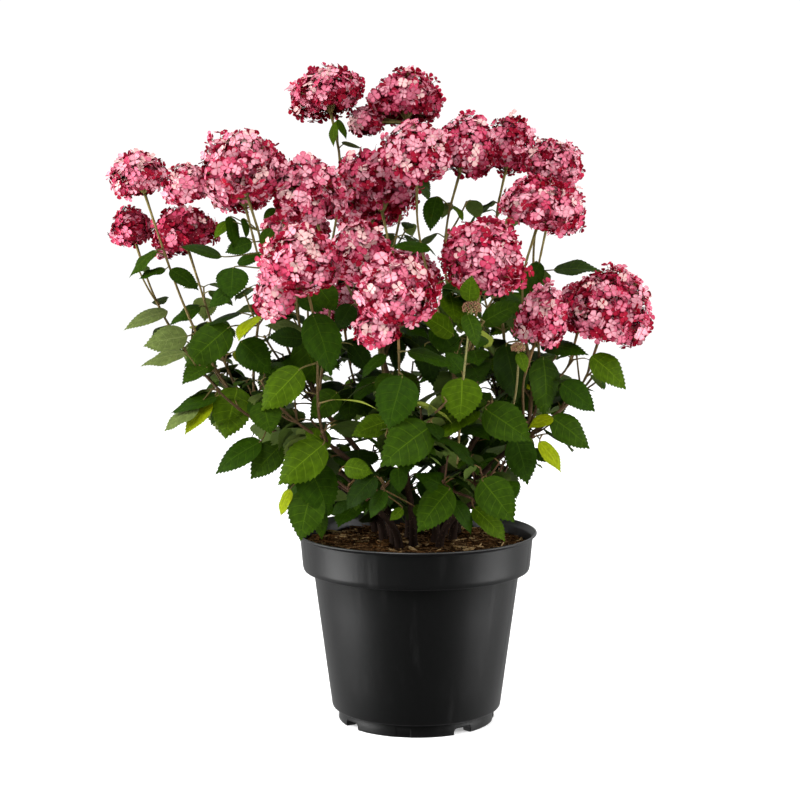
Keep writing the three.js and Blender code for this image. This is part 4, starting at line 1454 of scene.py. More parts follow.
@dataclass
class Limbs:
    """The woody boughs, the green shoots with swollen nodes, and the side twigs."""

    plan: Plan
    bough_sides: int = 14
    bough_steps: int = 34
    stem_rings: int = 5
    stem_radii: tuple[float, float] = (2.9, 2.2)
    sunk: float = 2.4  # how far a foot goes down into the mix
    foot_swell: float = 1.5
    shoot_grid: tuple[int, int] = (7, 26)  # sides and rings
    twig_grid: tuple[int, int] = (5, 8)
    node_swell: float = 0.32
    node_width: float = 0.018

    def _boughs(self) -> Surface:
        """The boughs: tapering tubes with ridged bark.

        The radius falls evenly from foot to tip, swells at the foot, and is times one plus a ridge
        wave round the bough and a noise along it.
        """
        plan = self.plan
        share = np.linspace(0, 1, self.bough_steps)
        lines = []
        for bough in BOUGHS:
            curve = plan.bough_curve(bough)
            up_stem = np.linspace(3, plan.stem_length, self.stem_rings)[:, None]
            wood = curve.at(share) - UP * self.sunk * (1 - share[:, None]) ** 8
            lines.append(np.concatenate([wood, curve.at(1) + curve.tangent(1) * up_stem]))
        low, high = plan.bough_radii
        taper = low + (high - low) * share + self.foot_swell * np.exp(-share * 22)
        radii = np.concatenate([taper, np.linspace(*self.stem_radii, self.stem_rings)])
        angle = full_turn(self.bough_sides)
        number = np.arange(len(BOUGHS))[:, None, None]
        spots = ring_points(angle, 1.6, np.arange(len(radii))[:, None] / 3.5)
        spots = spots + number[..., None] * [9.3, 0, 0]
        relief = 1 + 0.07 * smooth_noise(spots, 21) + 0.05 * np.cos(5 * angle + 0.5 * number)
        return tubes(np.stack(lines), radii[:, None] * relief, self.bough_sides)

    def shoot_tube(self, shoot: Shoot, places: Array, grid: tuple[int, int]) -> Surface:
        """A shoot as a tapering tube that is swollen where its leaves sit.

        The swelling is a narrow bell at each leaf's place. A leafy shoot ends at its last leaf.

        Args:
            shoot: the shoot.
            places: the shares of its length where its leaves sit.
            grid: points round a ring, and rings along it.

        Returns:
            The tube.
        """
        end = 1.0 if shoot.blooming else min(float(places.max()) + 0.02, 1.0)
        share = np.linspace(0, end, grid[1])
        low, high = shoot.radii
        joints = np.append(np.unique(places), end)
        swell = np.exp(-((share[:, None] - joints[None]) / self.node_width) ** 2).max(axis=1)
        radii = (low + (high - low) * share) * (1 + self.node_swell * swell)
        return tubes(shoot.curve.at(share)[None], radii[None], grid[0])

    def build(self, effects: Effects, shoots: Sequence[Grown], twigs: Sequence[Grown]) -> None:
        """Build the boughs, the shoots and the side twigs.

        Args:
            effects: the shared node groups.
            shoots: each shoot with its leaves' places.
            twigs: each side twig with its leaves' places.
        """
        boughs = [f"bough_{bough.name}" for bough in BOUGHS]
        add_piece("boughs_wood", self._boughs(), BARK.make(effects), boughs)
        green = GREEN_STEM.make(effects)
        tubes_made = [self.shoot_tube(*grown, self.shoot_grid) for grown in shoots]
        owners = sorted({shoot.owner for shoot, _ in shoots})
        add_piece("shoots", Surface.join(tubes_made), green, owners)
        tubes_made = [self.shoot_tube(*grown, self.twig_grid) for grown in twigs]
        add_piece("side_twigs", Surface.join(tubes_made), green)


# ---------------------------------------------------------------- foliage


@dataclass(frozen=True)
class BladeShape:
    """A toothed blade: a midrib, a line half way out on each side, and a margin of many points.

    The half width is the length share to the power 0.6 times its rest to the power 0.9, scaled so
    that the widest place is a half, and past the body a narrow spike runs on to the tip. The lift is
    an arch along the blade that flattens to its sides, less the tip's sag and the midrib's crease.
    The margin's points lie forwards of the midrib's, as the side veins run.
    """

    steps: int = 8
    arch: float = 0.05
    sag: float = 0.13
    crease: float = 0.03
    tooth: float = 0.024
    body: float = 0.95
    spike: float = 0.04
    peak: float = 0.3644  # the highest product of the two powers
    forward: float = 0.13  # how far the margin's points lie forwards
    edge_end: float = 0.985

    def _half_width(self, share: Array) -> Array:
        """Give the half width at shares of the length."""
        inner = np.clip(share / self.body, 0, 1)
        ovate = 0.5 * inner ** 0.6 * (1 - inner) ** 0.9 / self.peak
        taper = np.clip((1 - share) / (1 - self.body), 0, 1) * (share > 0.5)
        return np.maximum(ovate, self.spike * taper)

    def _line(self, count: int, reach: float) -> tuple[Array, Array]:
        """Give the points of one line at its reach from midrib to margin, and their length shares."""
        share = np.arange(1, count + 1) / (count + 1)
        bow = np.sin(np.pi * share)
        spine = share - 0.05 * bow
        edge = np.minimum(share + self.forward * bow * (1 - 0.35 * share), self.edge_end)
        forward = spine + (edge - spine) * reach ** 1.2
        out = reach * self._half_width(edge)
        if reach == 1:
            teeth = self.tooth * (1 - 2.0 * (np.arange(count) % 2)) * bow ** 0.4
            forward, out = forward + teeth * 0.7, out + teeth * 0.6
        lift = self.arch * np.sin(np.pi * np.clip(forward, 0, 1)) * (1 - 0.9 * reach ** 2)
        lift = lift - self.sag * np.clip(forward, 0, 1) ** 3 - self.crease * (reach == 0) * bow
        return np.stack([forward, out, lift], axis=-1), share

    def template(self) -> tuple[Surface, Array]:
        """Give the blade with length, width share and lift as its points, and its waviness mask."""
        steps, rim = self.steps, 3 * self.steps
        lines = [self._line(steps, 0.0), self._line(steps, 0.5), self._line(rim, 1.0)]
        mirror = np.array([1, -1, 1])
        points = np.concatenate([
            lines[0][0], lines[1][0], lines[2][0], lines[1][0] * mirror, lines[2][0] * mirror,
            [[0, 0, 0]], [[1, 0, -self.sag]],
        ])
        reach = np.repeat([0, 0.5, 1, 0.5, 1], [steps, steps, rim, steps, rim])
        side = np.repeat([0, 0.5, 1, -0.5, -1], [steps, steps, rim, steps, rim])
        share = np.concatenate([lines[0][1], lines[1][1], lines[2][1], lines[1][1], lines[2][1]])
        foot, tip = 3 * steps + 2 * rim, 3 * steps + 2 * rim + 1
        rows = np.arange(steps)
        first = steps + 3 * rows + steps
        faces = [
            triangles(rows + steps, first, first + 1),
            triangles(rows + steps, first + 1, first + 2),
            triangles(rows + steps, first + 2, first + 3)[:-1],
            triangles(rows + steps, first + 3, rows + steps + 1)[:-1],
            triangles(rows, rows + steps, rows + steps + 1)[:-1],
            triangles(rows, rows + steps + 1, rows + 1)[:-1],
            np.array([[foot, 2 * steps, steps], [foot, steps, 0],
                      [tip, 2 * steps - 1, 2 * steps + rim - 1], [tip, steps - 1, 2 * steps - 1]]),
        ]
        right = np.concatenate(faces)
        left = np.where((right >= steps) & (right < foot), right + steps + rim, right)
        faces = np.concatenate([left, right[:, ::-1]])
        spots = np.concatenate([np.stack([(side + 1) / 2, share], axis=-1), [[0.5, 0]], [[0.5, 1]]])
        mask = np.concatenate([reach ** 2 * np.sin(np.pi * share), [0, 0]])
        return Surface(points, faces, spots[faces] * 0.96 + 0.02), mask


@dataclass(frozen=True)
class LeafTint:
    """The colours of one green, and how often chance deals it to a leaf."""

    green: Green
    share: float
    top: Colour
    vein: Colour
    under: Colour


# The SHADE row is painted shade: greens darker than the leaves' own, for leaves deep in the crown.
LEAF_TINTS = (
    LeafTint(SHADE, 0.21, (0.007, 0.019, 0.0002), (0.018, 0.038, 0.001), (0.026, 0.042, 0.007)),
    LeafTint(DARK, 0.29, (0.0135, 0.036, 0.0003), (0.035, 0.07, 0.002), (0.037, 0.058, 0.01)),
    LeafTint(MID_GREEN, 0.32, (0.0175, 0.041, 0.0003), (0.06, 0.112, 0.003), (0.053, 0.08, 0.016)),
    LeafTint(FRESH, 0.13, (0.036, 0.07, 0.0004), (0.11, 0.18, 0.006), (0.085, 0.115, 0.025)),
    LeafTint(LIME, 0.03, (0.17, 0.21, 0.0015), (0.26, 0.30, 0.015), (0.2, 0.24, 0.035)),
    LeafTint(SAGE, 0.02, (0.085, 0.115, 0.028), (0.17, 0.205, 0.07), (0.115, 0.15, 0.045)),
)


@dataclass
class Foliage:
    """The leaves, dealt out by tint, with their stalks."""

    plan: Plan
    retries: tuple[tuple[float, float], ...] = (
        (0, 1), (38, 1), (-38, 1), (0, 0.72), (62, 0.8), (-62, 0.8),
    )  # turn and scale
    match: float = 0.8
    between_scale: float = 0.74
    narrow: tuple[float, float, float] = (0.72, 0.68, 0.8)  # scale, width share and how often
    inner_scale: float = 0.86
    inner_pairs: tuple[int, int] = (5, 3)  # on a bough with heads, and on a low one
    inner_span: tuple[float, float] = (0.3, 0.96)
    inner_shade: float = 0.55
    checked: tuple[tuple[float, ...], ...] = (
        (0.0, 0.35, 0.7, 1.0), (0.2, 0.48, 0.3, 0.0),
    )  # shares of a leaf's length, and how far to a side as shares of its width
    front_width: float = 0.62  # the least width of a front leaf, as a share of its length
    layer_pull: float = 0.184
    seen_from: float = 2050
    front_y: tuple[float, float, float] = (-212, -196, 200)  # foremost tip, foremost and last base
    front_gap: tuple[float, float] = (14, 8)  # a base before its shoot, in the front and further in
    rim_clear: float = 222  # the lowest that a leaf hangs outside the pot's mouth
    mouth: tuple[float, float] = (118, 213)  # the mouth's radius, and the lowest inside it
    sill: tuple[float, float, float] = (262, -50, 110)  # top, back and half width of the open mix
    head_margin: float = 1.05  # how much larger than itself a head is kept free
    hiding_depth: tuple[float, float] = (10, 12)  # behind a head's middle, and a front leaf's
    twig_share: float = 0.78
    twig_length: tuple[float, float] = (18, 44)
    twig_radii: tuple[float, float] = (1.3, 0.9)
    twig_floor: float = 236
    twig_lean: float = 0.8
    twig_rise: float = 0.35
    twig_scale: tuple[float, float] = (0.58, 0.2)  # the least, and what chance adds at most
    stalk_reach: tuple[float, float] = (0.55, 0.12)  # from the shoot to the knee, and from the blade
    stalk_radius: tuple[float, float] = (0.62, 0.006)  # of any stalk, and by its blade's length
    stalk_taper: tuple[tuple[float, ...], ...] = ((0, 0.4, 0.8, 1), (1.25, 0.95, 0.9, 0.55))
    bright_rise: tuple[float, float, float] = (260, 300, 0.1)  # from a height, over a height, by
    shape: BladeShape = field(default_factory=BladeShape)
    front: FrontView = field(default_factory=FrontView)

    def __post_init__(self) -> None:
        """Keep the heads' ellipsoids, which no further leaf may enter."""
        centres, halves = [], []
        for bloom in (bloom for bough in BOUGHS for bloom in bough.blooms):
            for centre, width, height in bloom.domes(self.plan.bloom_frame(bloom)[1]):
                centres.append(centre)
                halves.append([width / 2, width / 2, height * 0.52])
        self.centres, self.halves = np.array(centres), np.array(halves)

    def main_leaves(self, shoot: Shoot, corners: Array) -> tuple[Leaves, Array]:
        """Give a shoot's leaves as the frame has them.

        Each leaf was tried with several turns and scales. The one that the frame took is the first
        whose tip is a corner of the frame's own mass.

        Args:
            shoot: the shoot.
            corners: (n, 3) the corners of the frame's mass, in millimetres.

        Returns:
            The leaves and their shares of the shoot's length.
        """
        pair, side = np.repeat(np.arange(shoot.pairs), 2), np.tile([0, 1], shoot.pairs)
        taken, places = [], []
        open_leaves = np.ones(len(pair), dtype=bool)
        for turn, scale in self.retries:
            leaves, place = self.plan.leaves(shoot, pair, pair, side, turn, scale)
            tips = leaves.tips(self.plan.tip_sag)
            gap = np.linalg.norm(tips[:, None] - corners[None], axis=-1).min(axis=1)
            chosen = open_leaves & (gap < self.match)
            open_leaves &= ~chosen
            taken.append(leaves.pick(chosen))
            places.append(place[chosen])
        return Leaves.join(taken), np.concatenate(places)

    def clear(self, leaves: Leaves) -> Array:
        """Say which leaves keep out of the heads, the pot and the space past the frame's box."""
        shares, halves = (np.array(row) for row in self.checked)
        along = (leaves.length[:, None] * shares)[..., None]
        line = leaves.base[:, None] + leaves.blade[:, None] * along
        sides = leaves.wide[:, None] * (leaves.width[:, None] * halves)[..., None]
        spots = np.concatenate([line, line + sides, line - sides], axis=1)
        off_heads = (spots[:, :, None] - self.centres) / self.halves
        depth = np.linalg.norm(off_heads, axis=-1).min(axis=(1, 2))
        radius = np.linalg.norm(spots[..., :2], axis=-1)
        inside, height = radius < self.mouth[0], spots[..., 2]
        over_pot = ((height > self.rim_clear) | (inside & (height > self.mouth[1]))).all(axis=1)
        low, high = (np.array(corner) / MM for corner in CAD_BOUNDS)
        in_box = ((spots > low + 1) & (spots < high - 1)).all(axis=(1, 2))
        return (depth > 1.0) & over_pot & in_box

    def extra_leaves(self, shoot: Shoot) -> tuple[Leaves, Array]:
        """Give a shoot's further leaves.

        A smaller pair grows between each two, and narrow ones grow by a head.
        """
        gaps = np.repeat(np.arange(shoot.pairs), 2)
        side = np.tile([0, 1], shoot.pairs)
        leaves, places = self.plan.leaves(
            shoot, gaps + 0.5, gaps + 16, side, scale=self.between_scale
        )
        kept = self.clear(leaves)
        leaves, places = leaves.pick(kept), places[kept]
        if not shoot.blooming:
            return leaves, places
        scale, width_share, share = self.narrow
        pair, rank, place = np.repeat([[2.0, 2.6], [24, 25], [0.93, 0.985]], 2, axis=1)
        narrow, place = self.plan.leaves(
            shoot, pair, rank.astype(int), np.array([0, 1, 0, 1]), scale=scale, place=place
        )
        narrow.width = narrow.width * width_share
        kept = self.clear(narrow) & (chance(narrow.seed, 9) < share)
        return Leaves.join([leaves, narrow.pick(kept)]), np.append(places, place[kept])

    def shoot_leaves(self, shoot: Shoot, corners: Array, front: Leaves) -> tuple[Leaves, Array]:
        """Give all the leaves of one shoot that may stay in view, and their shares of its length."""
        grown, places = self.main_leaves(shoot, corners)
        further, more_places = self.extra_leaves(shoot)
        leaves, places = Leaves.join([grown, further]), np.concatenate([places, more_places])
        kept = self.in_view(leaves, front)
        return leaves.pick(kept), places[kept]

    def twig_leaves(self, twig: Shoot, front: Leaves) -> tuple[Leaves, Array]:
        """Give the two pairs of a side twig, less those that stand in the way."""
        pair = np.array([0.0, 0.0, 1.0, 1.0])
        leaves, places = self.plan.leaves(twig, pair, pair.astype(int), np.array([0, 1, 0, 1]))
        kept = self.clear(leaves) & self.in_view(leaves, front)
        return leaves.pick(kept), places[kept]

    def inner_leaves(self, index: int, front: Leaves) -> Leaves:
        """Give the shaded leaves on one bough, in pairs up its length, less those in the way."""
        bough = BOUGHS[index]
        seed = (index + 1) * 16 + 12
        pairs = self.inner_pairs[0 if bough.blooms else 1]
        curve = self.plan.bough_curve(bough)
        phase = float(between(0, math.pi, seed, 14)[0])
        stem = Shoot(
            curve, UP, seed, phase, pairs, self.inner_scale, self.plan.bough_radii,
            f"leaves_{bough.name}", False,
        )
        pair = np.repeat(np.arange(pairs), 2)
        side = np.tile([0, 1], pairs)
        place = np.linspace(*self.inner_span, pairs)[pair]
        leaves, _ = self.plan.leaves(stem, pair * 0.4, pair, side, turn=90.0 * pair, place=place)
        # Painted shade: over half of these inner leaves take the SHADE green, and the rest DARK.
        shaded = chance(leaves.seed, 31) < self.inner_shade
        leaves.green = np.where(shaded, SHADE.value, DARK.value)
        return leaves.pick(self.clear(leaves) & self.in_view(leaves, front))

    def _front_places(self, shoots: Sequence[Shoot]) -> tuple[Array, Array, Array]:
        """Give the bases, tips and seen widths of the front's large leaves.

        A leaf without a depth of its own hangs just before the shoot that its base lies nearest to,
        where nearness is the gap in the view plus a share of the shoot's depth from the leaf's layer.
        Its tip lies a little nearer to the eye than its base.

        Args:
            shoots: every shoot.

        Returns:
            Bases and tips, (n, 3), and widths, all in millimetres.
        """
        bases, tips, widths, depths, _ = zip(*FRONT_LEAVES)
        layered = np.array([isinstance(depth, Layer) for depth in depths])
        wanted = np.array([getattr(depth, "value", depth) for depth in depths], dtype=float)
        before = np.where(wanted == FRONT.value, *self.front_gap)
        base, tip = np.array(bases, dtype=float), np.array(tips, dtype=float)
        lines = np.concatenate([shoot.curve.at(np.linspace(0.05, 1, 40)) for shoot in shoots])
        spots = self.front.point(base, 0)[:, [0, 2]]
        gap = np.linalg.norm(spots[:, None] - self.front.seen(lines)[None], axis=-1)
        nearest = (gap + self.layer_pull * np.abs(lines[:, 1] - wanted[:, None])).argmin(axis=1)
        foremost, first_base, last_base = self.front_y
        found = np.clip(lines[nearest, 1] - before, first_base, last_base)
        depth = np.where(layered, found, wanted)
        low = [np.array(column, dtype=float) for column in list(zip(*LOW_LEAVES))[:3]]
        width = np.array(widths) * self.seen_from / self.front.lens
        return (
            np.concatenate([self.front.point(base, depth), low[0]]),
            np.concatenate([self.front.point(tip, np.maximum(depth - before, foremost)), low[1]]),
            np.concatenate([width, low[2]]),
        )

    def front_leaves(self, shoots: Sequence[Shoot]) -> Leaves:
        """Give the large leaves of the front, each on a stalk from the nearest place on a shoot.

        A blade runs from its base to its tip. Its face turns from the eye by the angle whose cosine
        is its seen width over its own width, which is no less than a share of its length.
        """
        base, tip, seen = self._front_places(shoots)
        curves = [shoot.curve for shoot in shoots] + [bud.curve for bud in BUDS]
        lines = np.concatenate([curve.at(np.linspace(0.05, 0.98, 40)) for curve in curves])
        root = lines[np.linalg.norm(base[:, None] - lines[None], axis=-1).argmin(axis=1)]
        length = np.linalg.norm(tip - base, axis=1)
        blade = unit(tip - base)
        width = np.maximum(seen, self.front_width * length)
        towards = unit(np.array(self.front.eye) - base)
        facing = unit(towards - blade * np.sum(towards * blade, axis=1, keepdims=True))
        upward = np.cross(blade, facing)
        upward = upward * np.where(upward[:, 2:] < 0, -1, 1)
        cosine = np.minimum(seen / width, 0.97)[:, None]
        face = unit(facing * cosine + upward * np.sqrt(1 - cosine ** 2))
        return Leaves(
            root=root, stalk=unit(base - root), blade=blade, wide=unit(np.cross(face, blade)),
            face=face, length=length * 1.02, width=width, base=base,
            seed=90000 + np.arange(len(base)),
            green=np.array([row[-1].value for row in FRONT_LEAVES + LOW_LEAVES]),
        )

    def in_view(self, leaves: Leaves, front: Leaves) -> Array:
        """Say which leaves keep the sky open and hide neither a head nor a leaf of the front.

        Args:
            leaves: the leaves in question.
            front: the large leaves of the front.

        Returns:
            A mask of those that may stay.
        """
        middle = leaves.base + leaves.blade * (0.5 * leaves.length)[:, None]
        half = leaves.wide * (0.4 * leaves.width)[:, None]
        tips = leaves.tips(self.plan.tip_sag)
        corners = np.stack([middle, tips, middle + half, middle - half], axis=1)
        inside = self.front.in_crown(corners).all(axis=1)
        spot, depth = self.front.seen(middle)[:, None], middle[:, 1, None]
        past_head, past_leaf = self.hiding_depth
        heads = (spot - self.front.seen(self.centres)) / (self.halves[:, [0, 2]] * self.head_margin)
        before = depth < self.centres[:, 1] + past_head
        hides_head = ((np.linalg.norm(heads, axis=-1) < 1) & before).any(axis=1)
        centre = front.base + front.blade * (0.5 * front.length)[:, None]
        reach = 0.42 * front.length + 0.3 * np.median(leaves.length)
        gap = np.linalg.norm(spot - self.front.seen(centre), axis=-1)
        hides_leaf = ((gap < reach) & (depth < centre[:, 1] + past_leaf)).any(axis=1)
        top, back, half_width = self.sill
        over_sill = (middle[:, 2] < top) & (middle[:, 1] < back) & (np.abs(middle[:, 0]) < half_width)
        return inside & ~hides_head & ~hides_leaf & ~over_sill

    def side_twigs(self, shoot: Shoot) -> list[Shoot]:
        """Give a shoot's side twigs, which rise from the axils of some of its pairs.

        A twig heads outwards as its leaf does and turns up by half of its length.
        """
        twigs = []
        for rank in range(shoot.pairs):
            for side in (0, 1):
                seed = shoot.seed * 64 + 48 + rank * 2 + side
                if float(chance(seed, 12)[0]) > self.twig_share:
                    continue
                leaf, place = self.plan.leaves(
                    shoot, np.array([float(rank)]), np.array([rank]), np.array([side]), turn=12.0
                )
                root = leaf.root[0]
                reach = float(between(*self.twig_length, seed, 13)[0])
                out = unit(leaf.stalk[0] + shoot.curve.tangent(place)[0] * self.twig_lean)
                end = root + out * reach + UP * reach * self.twig_rise
                if end[2] < self.twig_floor:
                    continue
                phase = float(between(0, math.pi, seed, 14)[0])
                least, span = self.twig_scale
                scale = least + span * float(chance(seed, 15)[0])
                curve = Curve(np.stack([root, root + out * reach * 0.5, end]))
                twigs.append(Shoot(
                    curve, unit(out + UP), seed, phase, 2, scale, self.twig_radii, shoot.owner, False
                ))
        return twigs

    def _blades(self, leaves: Leaves) -> Surface:
        """Lay the blade's template on each leaf.

        A point is the leaf's base plus the template's length along the blade, its width share
        across it and its lift along its face. The margins wave by a sine with the leaf's own phase.
        """
        template, mask = self.shape.template()
        forward, side, lift = template.points.T
        phase = 2 * np.pi * chance(leaves.seed, 21)[:, None]
        swing = between(0.0, 0.045, leaves.seed, 22)[:, None]
        cup = between(-0.04, 0.05, leaves.seed, 23)[:, None]
        bend = between(-0.05, 0.05, leaves.seed, 24)[:, None]
        wave = swing * np.sin(2 * np.pi * 1.6 * forward + phase + np.sign(side)) * mask
        lifted = lift + wave + cup * mask
        sideways = side * leaves.width[:, None] + bend * leaves.length[:, None] * forward ** 2
        points = (
            leaves.base[:, None]
            + leaves.blade[:, None] * (forward * leaves.length[:, None])[..., None]
            + leaves.wide[:, None] * sideways[..., None]
            + leaves.face[:, None] * (lifted * leaves.length[:, None])[..., None]
        )
        return template.copies(points)

    def _stalks(self, leaves: Leaves) -> Surface:
        """Lay thin tubes from the shoot to the blades, which bow into each blade's own line.

        A stalk follows the cubic curve with its root, its knee, the place before the blade's base and
        a place just inside the blade as its four points.
        """
        into = leaves.base + leaves.blade * (0.06 * leaves.length)[:, None] + leaves.face * 0.2
        reach = np.linalg.norm(leaves.base - leaves.root, axis=1)[:, None]
        to_knee, to_near = self.stalk_reach
        knee = leaves.root + leaves.stalk * reach * to_knee
        near = leaves.base - leaves.blade * reach * to_near
        share = np.linspace(0, 1, 6)
        go, rest = share[:, None], 1 - share[:, None]
        lines = rest ** 3 * leaves.root[:, None] + 3 * rest ** 2 * go * knee[:, None]
        lines = lines + 3 * rest * go ** 2 * near[:, None] + go ** 3 * into[:, None]
        taper = np.interp(share, *self.stalk_taper)
        least, growth = self.stalk_radius
        return tubes(lines, (least + growth * leaves.length)[:, None] * taper, 4)

    def build(self, effects: Effects, leaves: Leaves) -> None:
        """Build the blades, one piece to a tint, and the stalks.

        Args:
            effects: the shared node groups.
            leaves: every leaf of the plant.
        """
        owners = [f"leaves_{bough.name}" for bough in BOUGHS]
        # Painted light: higher leaves draw the lighter greens a little more often, as the crown's top
        # is lit more than its foot.
        low, span, gain = self.bright_rise
        height = np.clip((leaves.base[:, 2] - low) / span, 0, 1)
        draw = np.clip(chance(leaves.seed, 8) + gain * (height - 0.5), 0, 0.9999)
        dealt = np.searchsorted(np.cumsum([tint.share for tint in LEAF_TINTS]), draw, side="right")
        number = np.where(leaves.green >= 0, leaves.green, np.minimum(dealt, len(LEAF_TINTS) - 1))
        for tint in LEAF_TINTS:
            label = tint.green.name.lower()
            finish = LeafFinish(f"leaf_{label}", 0.55, 0.035, tint.top, tint.vein, tint.under)
            blades = self._blades(leaves.pick(number == tint.green.value))
            add_piece(f"blades_{label}", blades, finish.make(effects), owners)
        add_piece("leaf_stalks", self._stalks(leaves), LEAF_STALK.make(effects))


# ---------------------------------------------------------------- blossom


PETAL_TINTS = tuple(PetalFinish(f"petal_{name}", 0.65, 0.04, *tint) for name, *tint in (
    ("cream", (0.59, 0.41, 0.385), (0.56, 0.19, 0.22), (0.42, 0.04, 0.09), 0.6),
    ("pale", (0.57, 0.29, 0.34), (0.49, 0.085, 0.14), (0.36, 0.014, 0.045), 0.65),
    ("pink", (0.51, 0.155, 0.22), (0.36, 0.028, 0.07), (0.33, 0.009, 0.034), 0.75),
    ("rose", (0.41, 0.052, 0.105), (0.27, 0.007, 0.03), (0.27, 0.005, 0.02), 0.85),
    ("crimson", (0.235, 0.006, 0.022), (0.15, 0.0012, 0.008), (0.2, 0.002, 0.011), 0.85),
    ("dusk", (0.17, 0.014, 0.028), (0.10, 0.004, 0.01), (0.12, 0.003, 0.01), 0.8),
))
# How often a floret takes each tint, in the outer layer of a head of each tone.
TONE_SHARES = {
    Tone.BRIGHT: (0.10, 0.40, 0.30, 0.12, 0.08, 0.0),
    Tone.MID: (0.09, 0.34, 0.29, 0.16, 0.12, 0.0),
    Tone.DEEP: (0.04, 0.15, 0.16, 0.19, 0.30, 0.16),
}
# How often a floret takes each tint in the inner layers: mostly the deep tints, which paint the shade
# in the gaps between the outer florets.
INNER_SHARES = (0.0, 0.02, 0.12, 0.32, 0.44, 0.10)


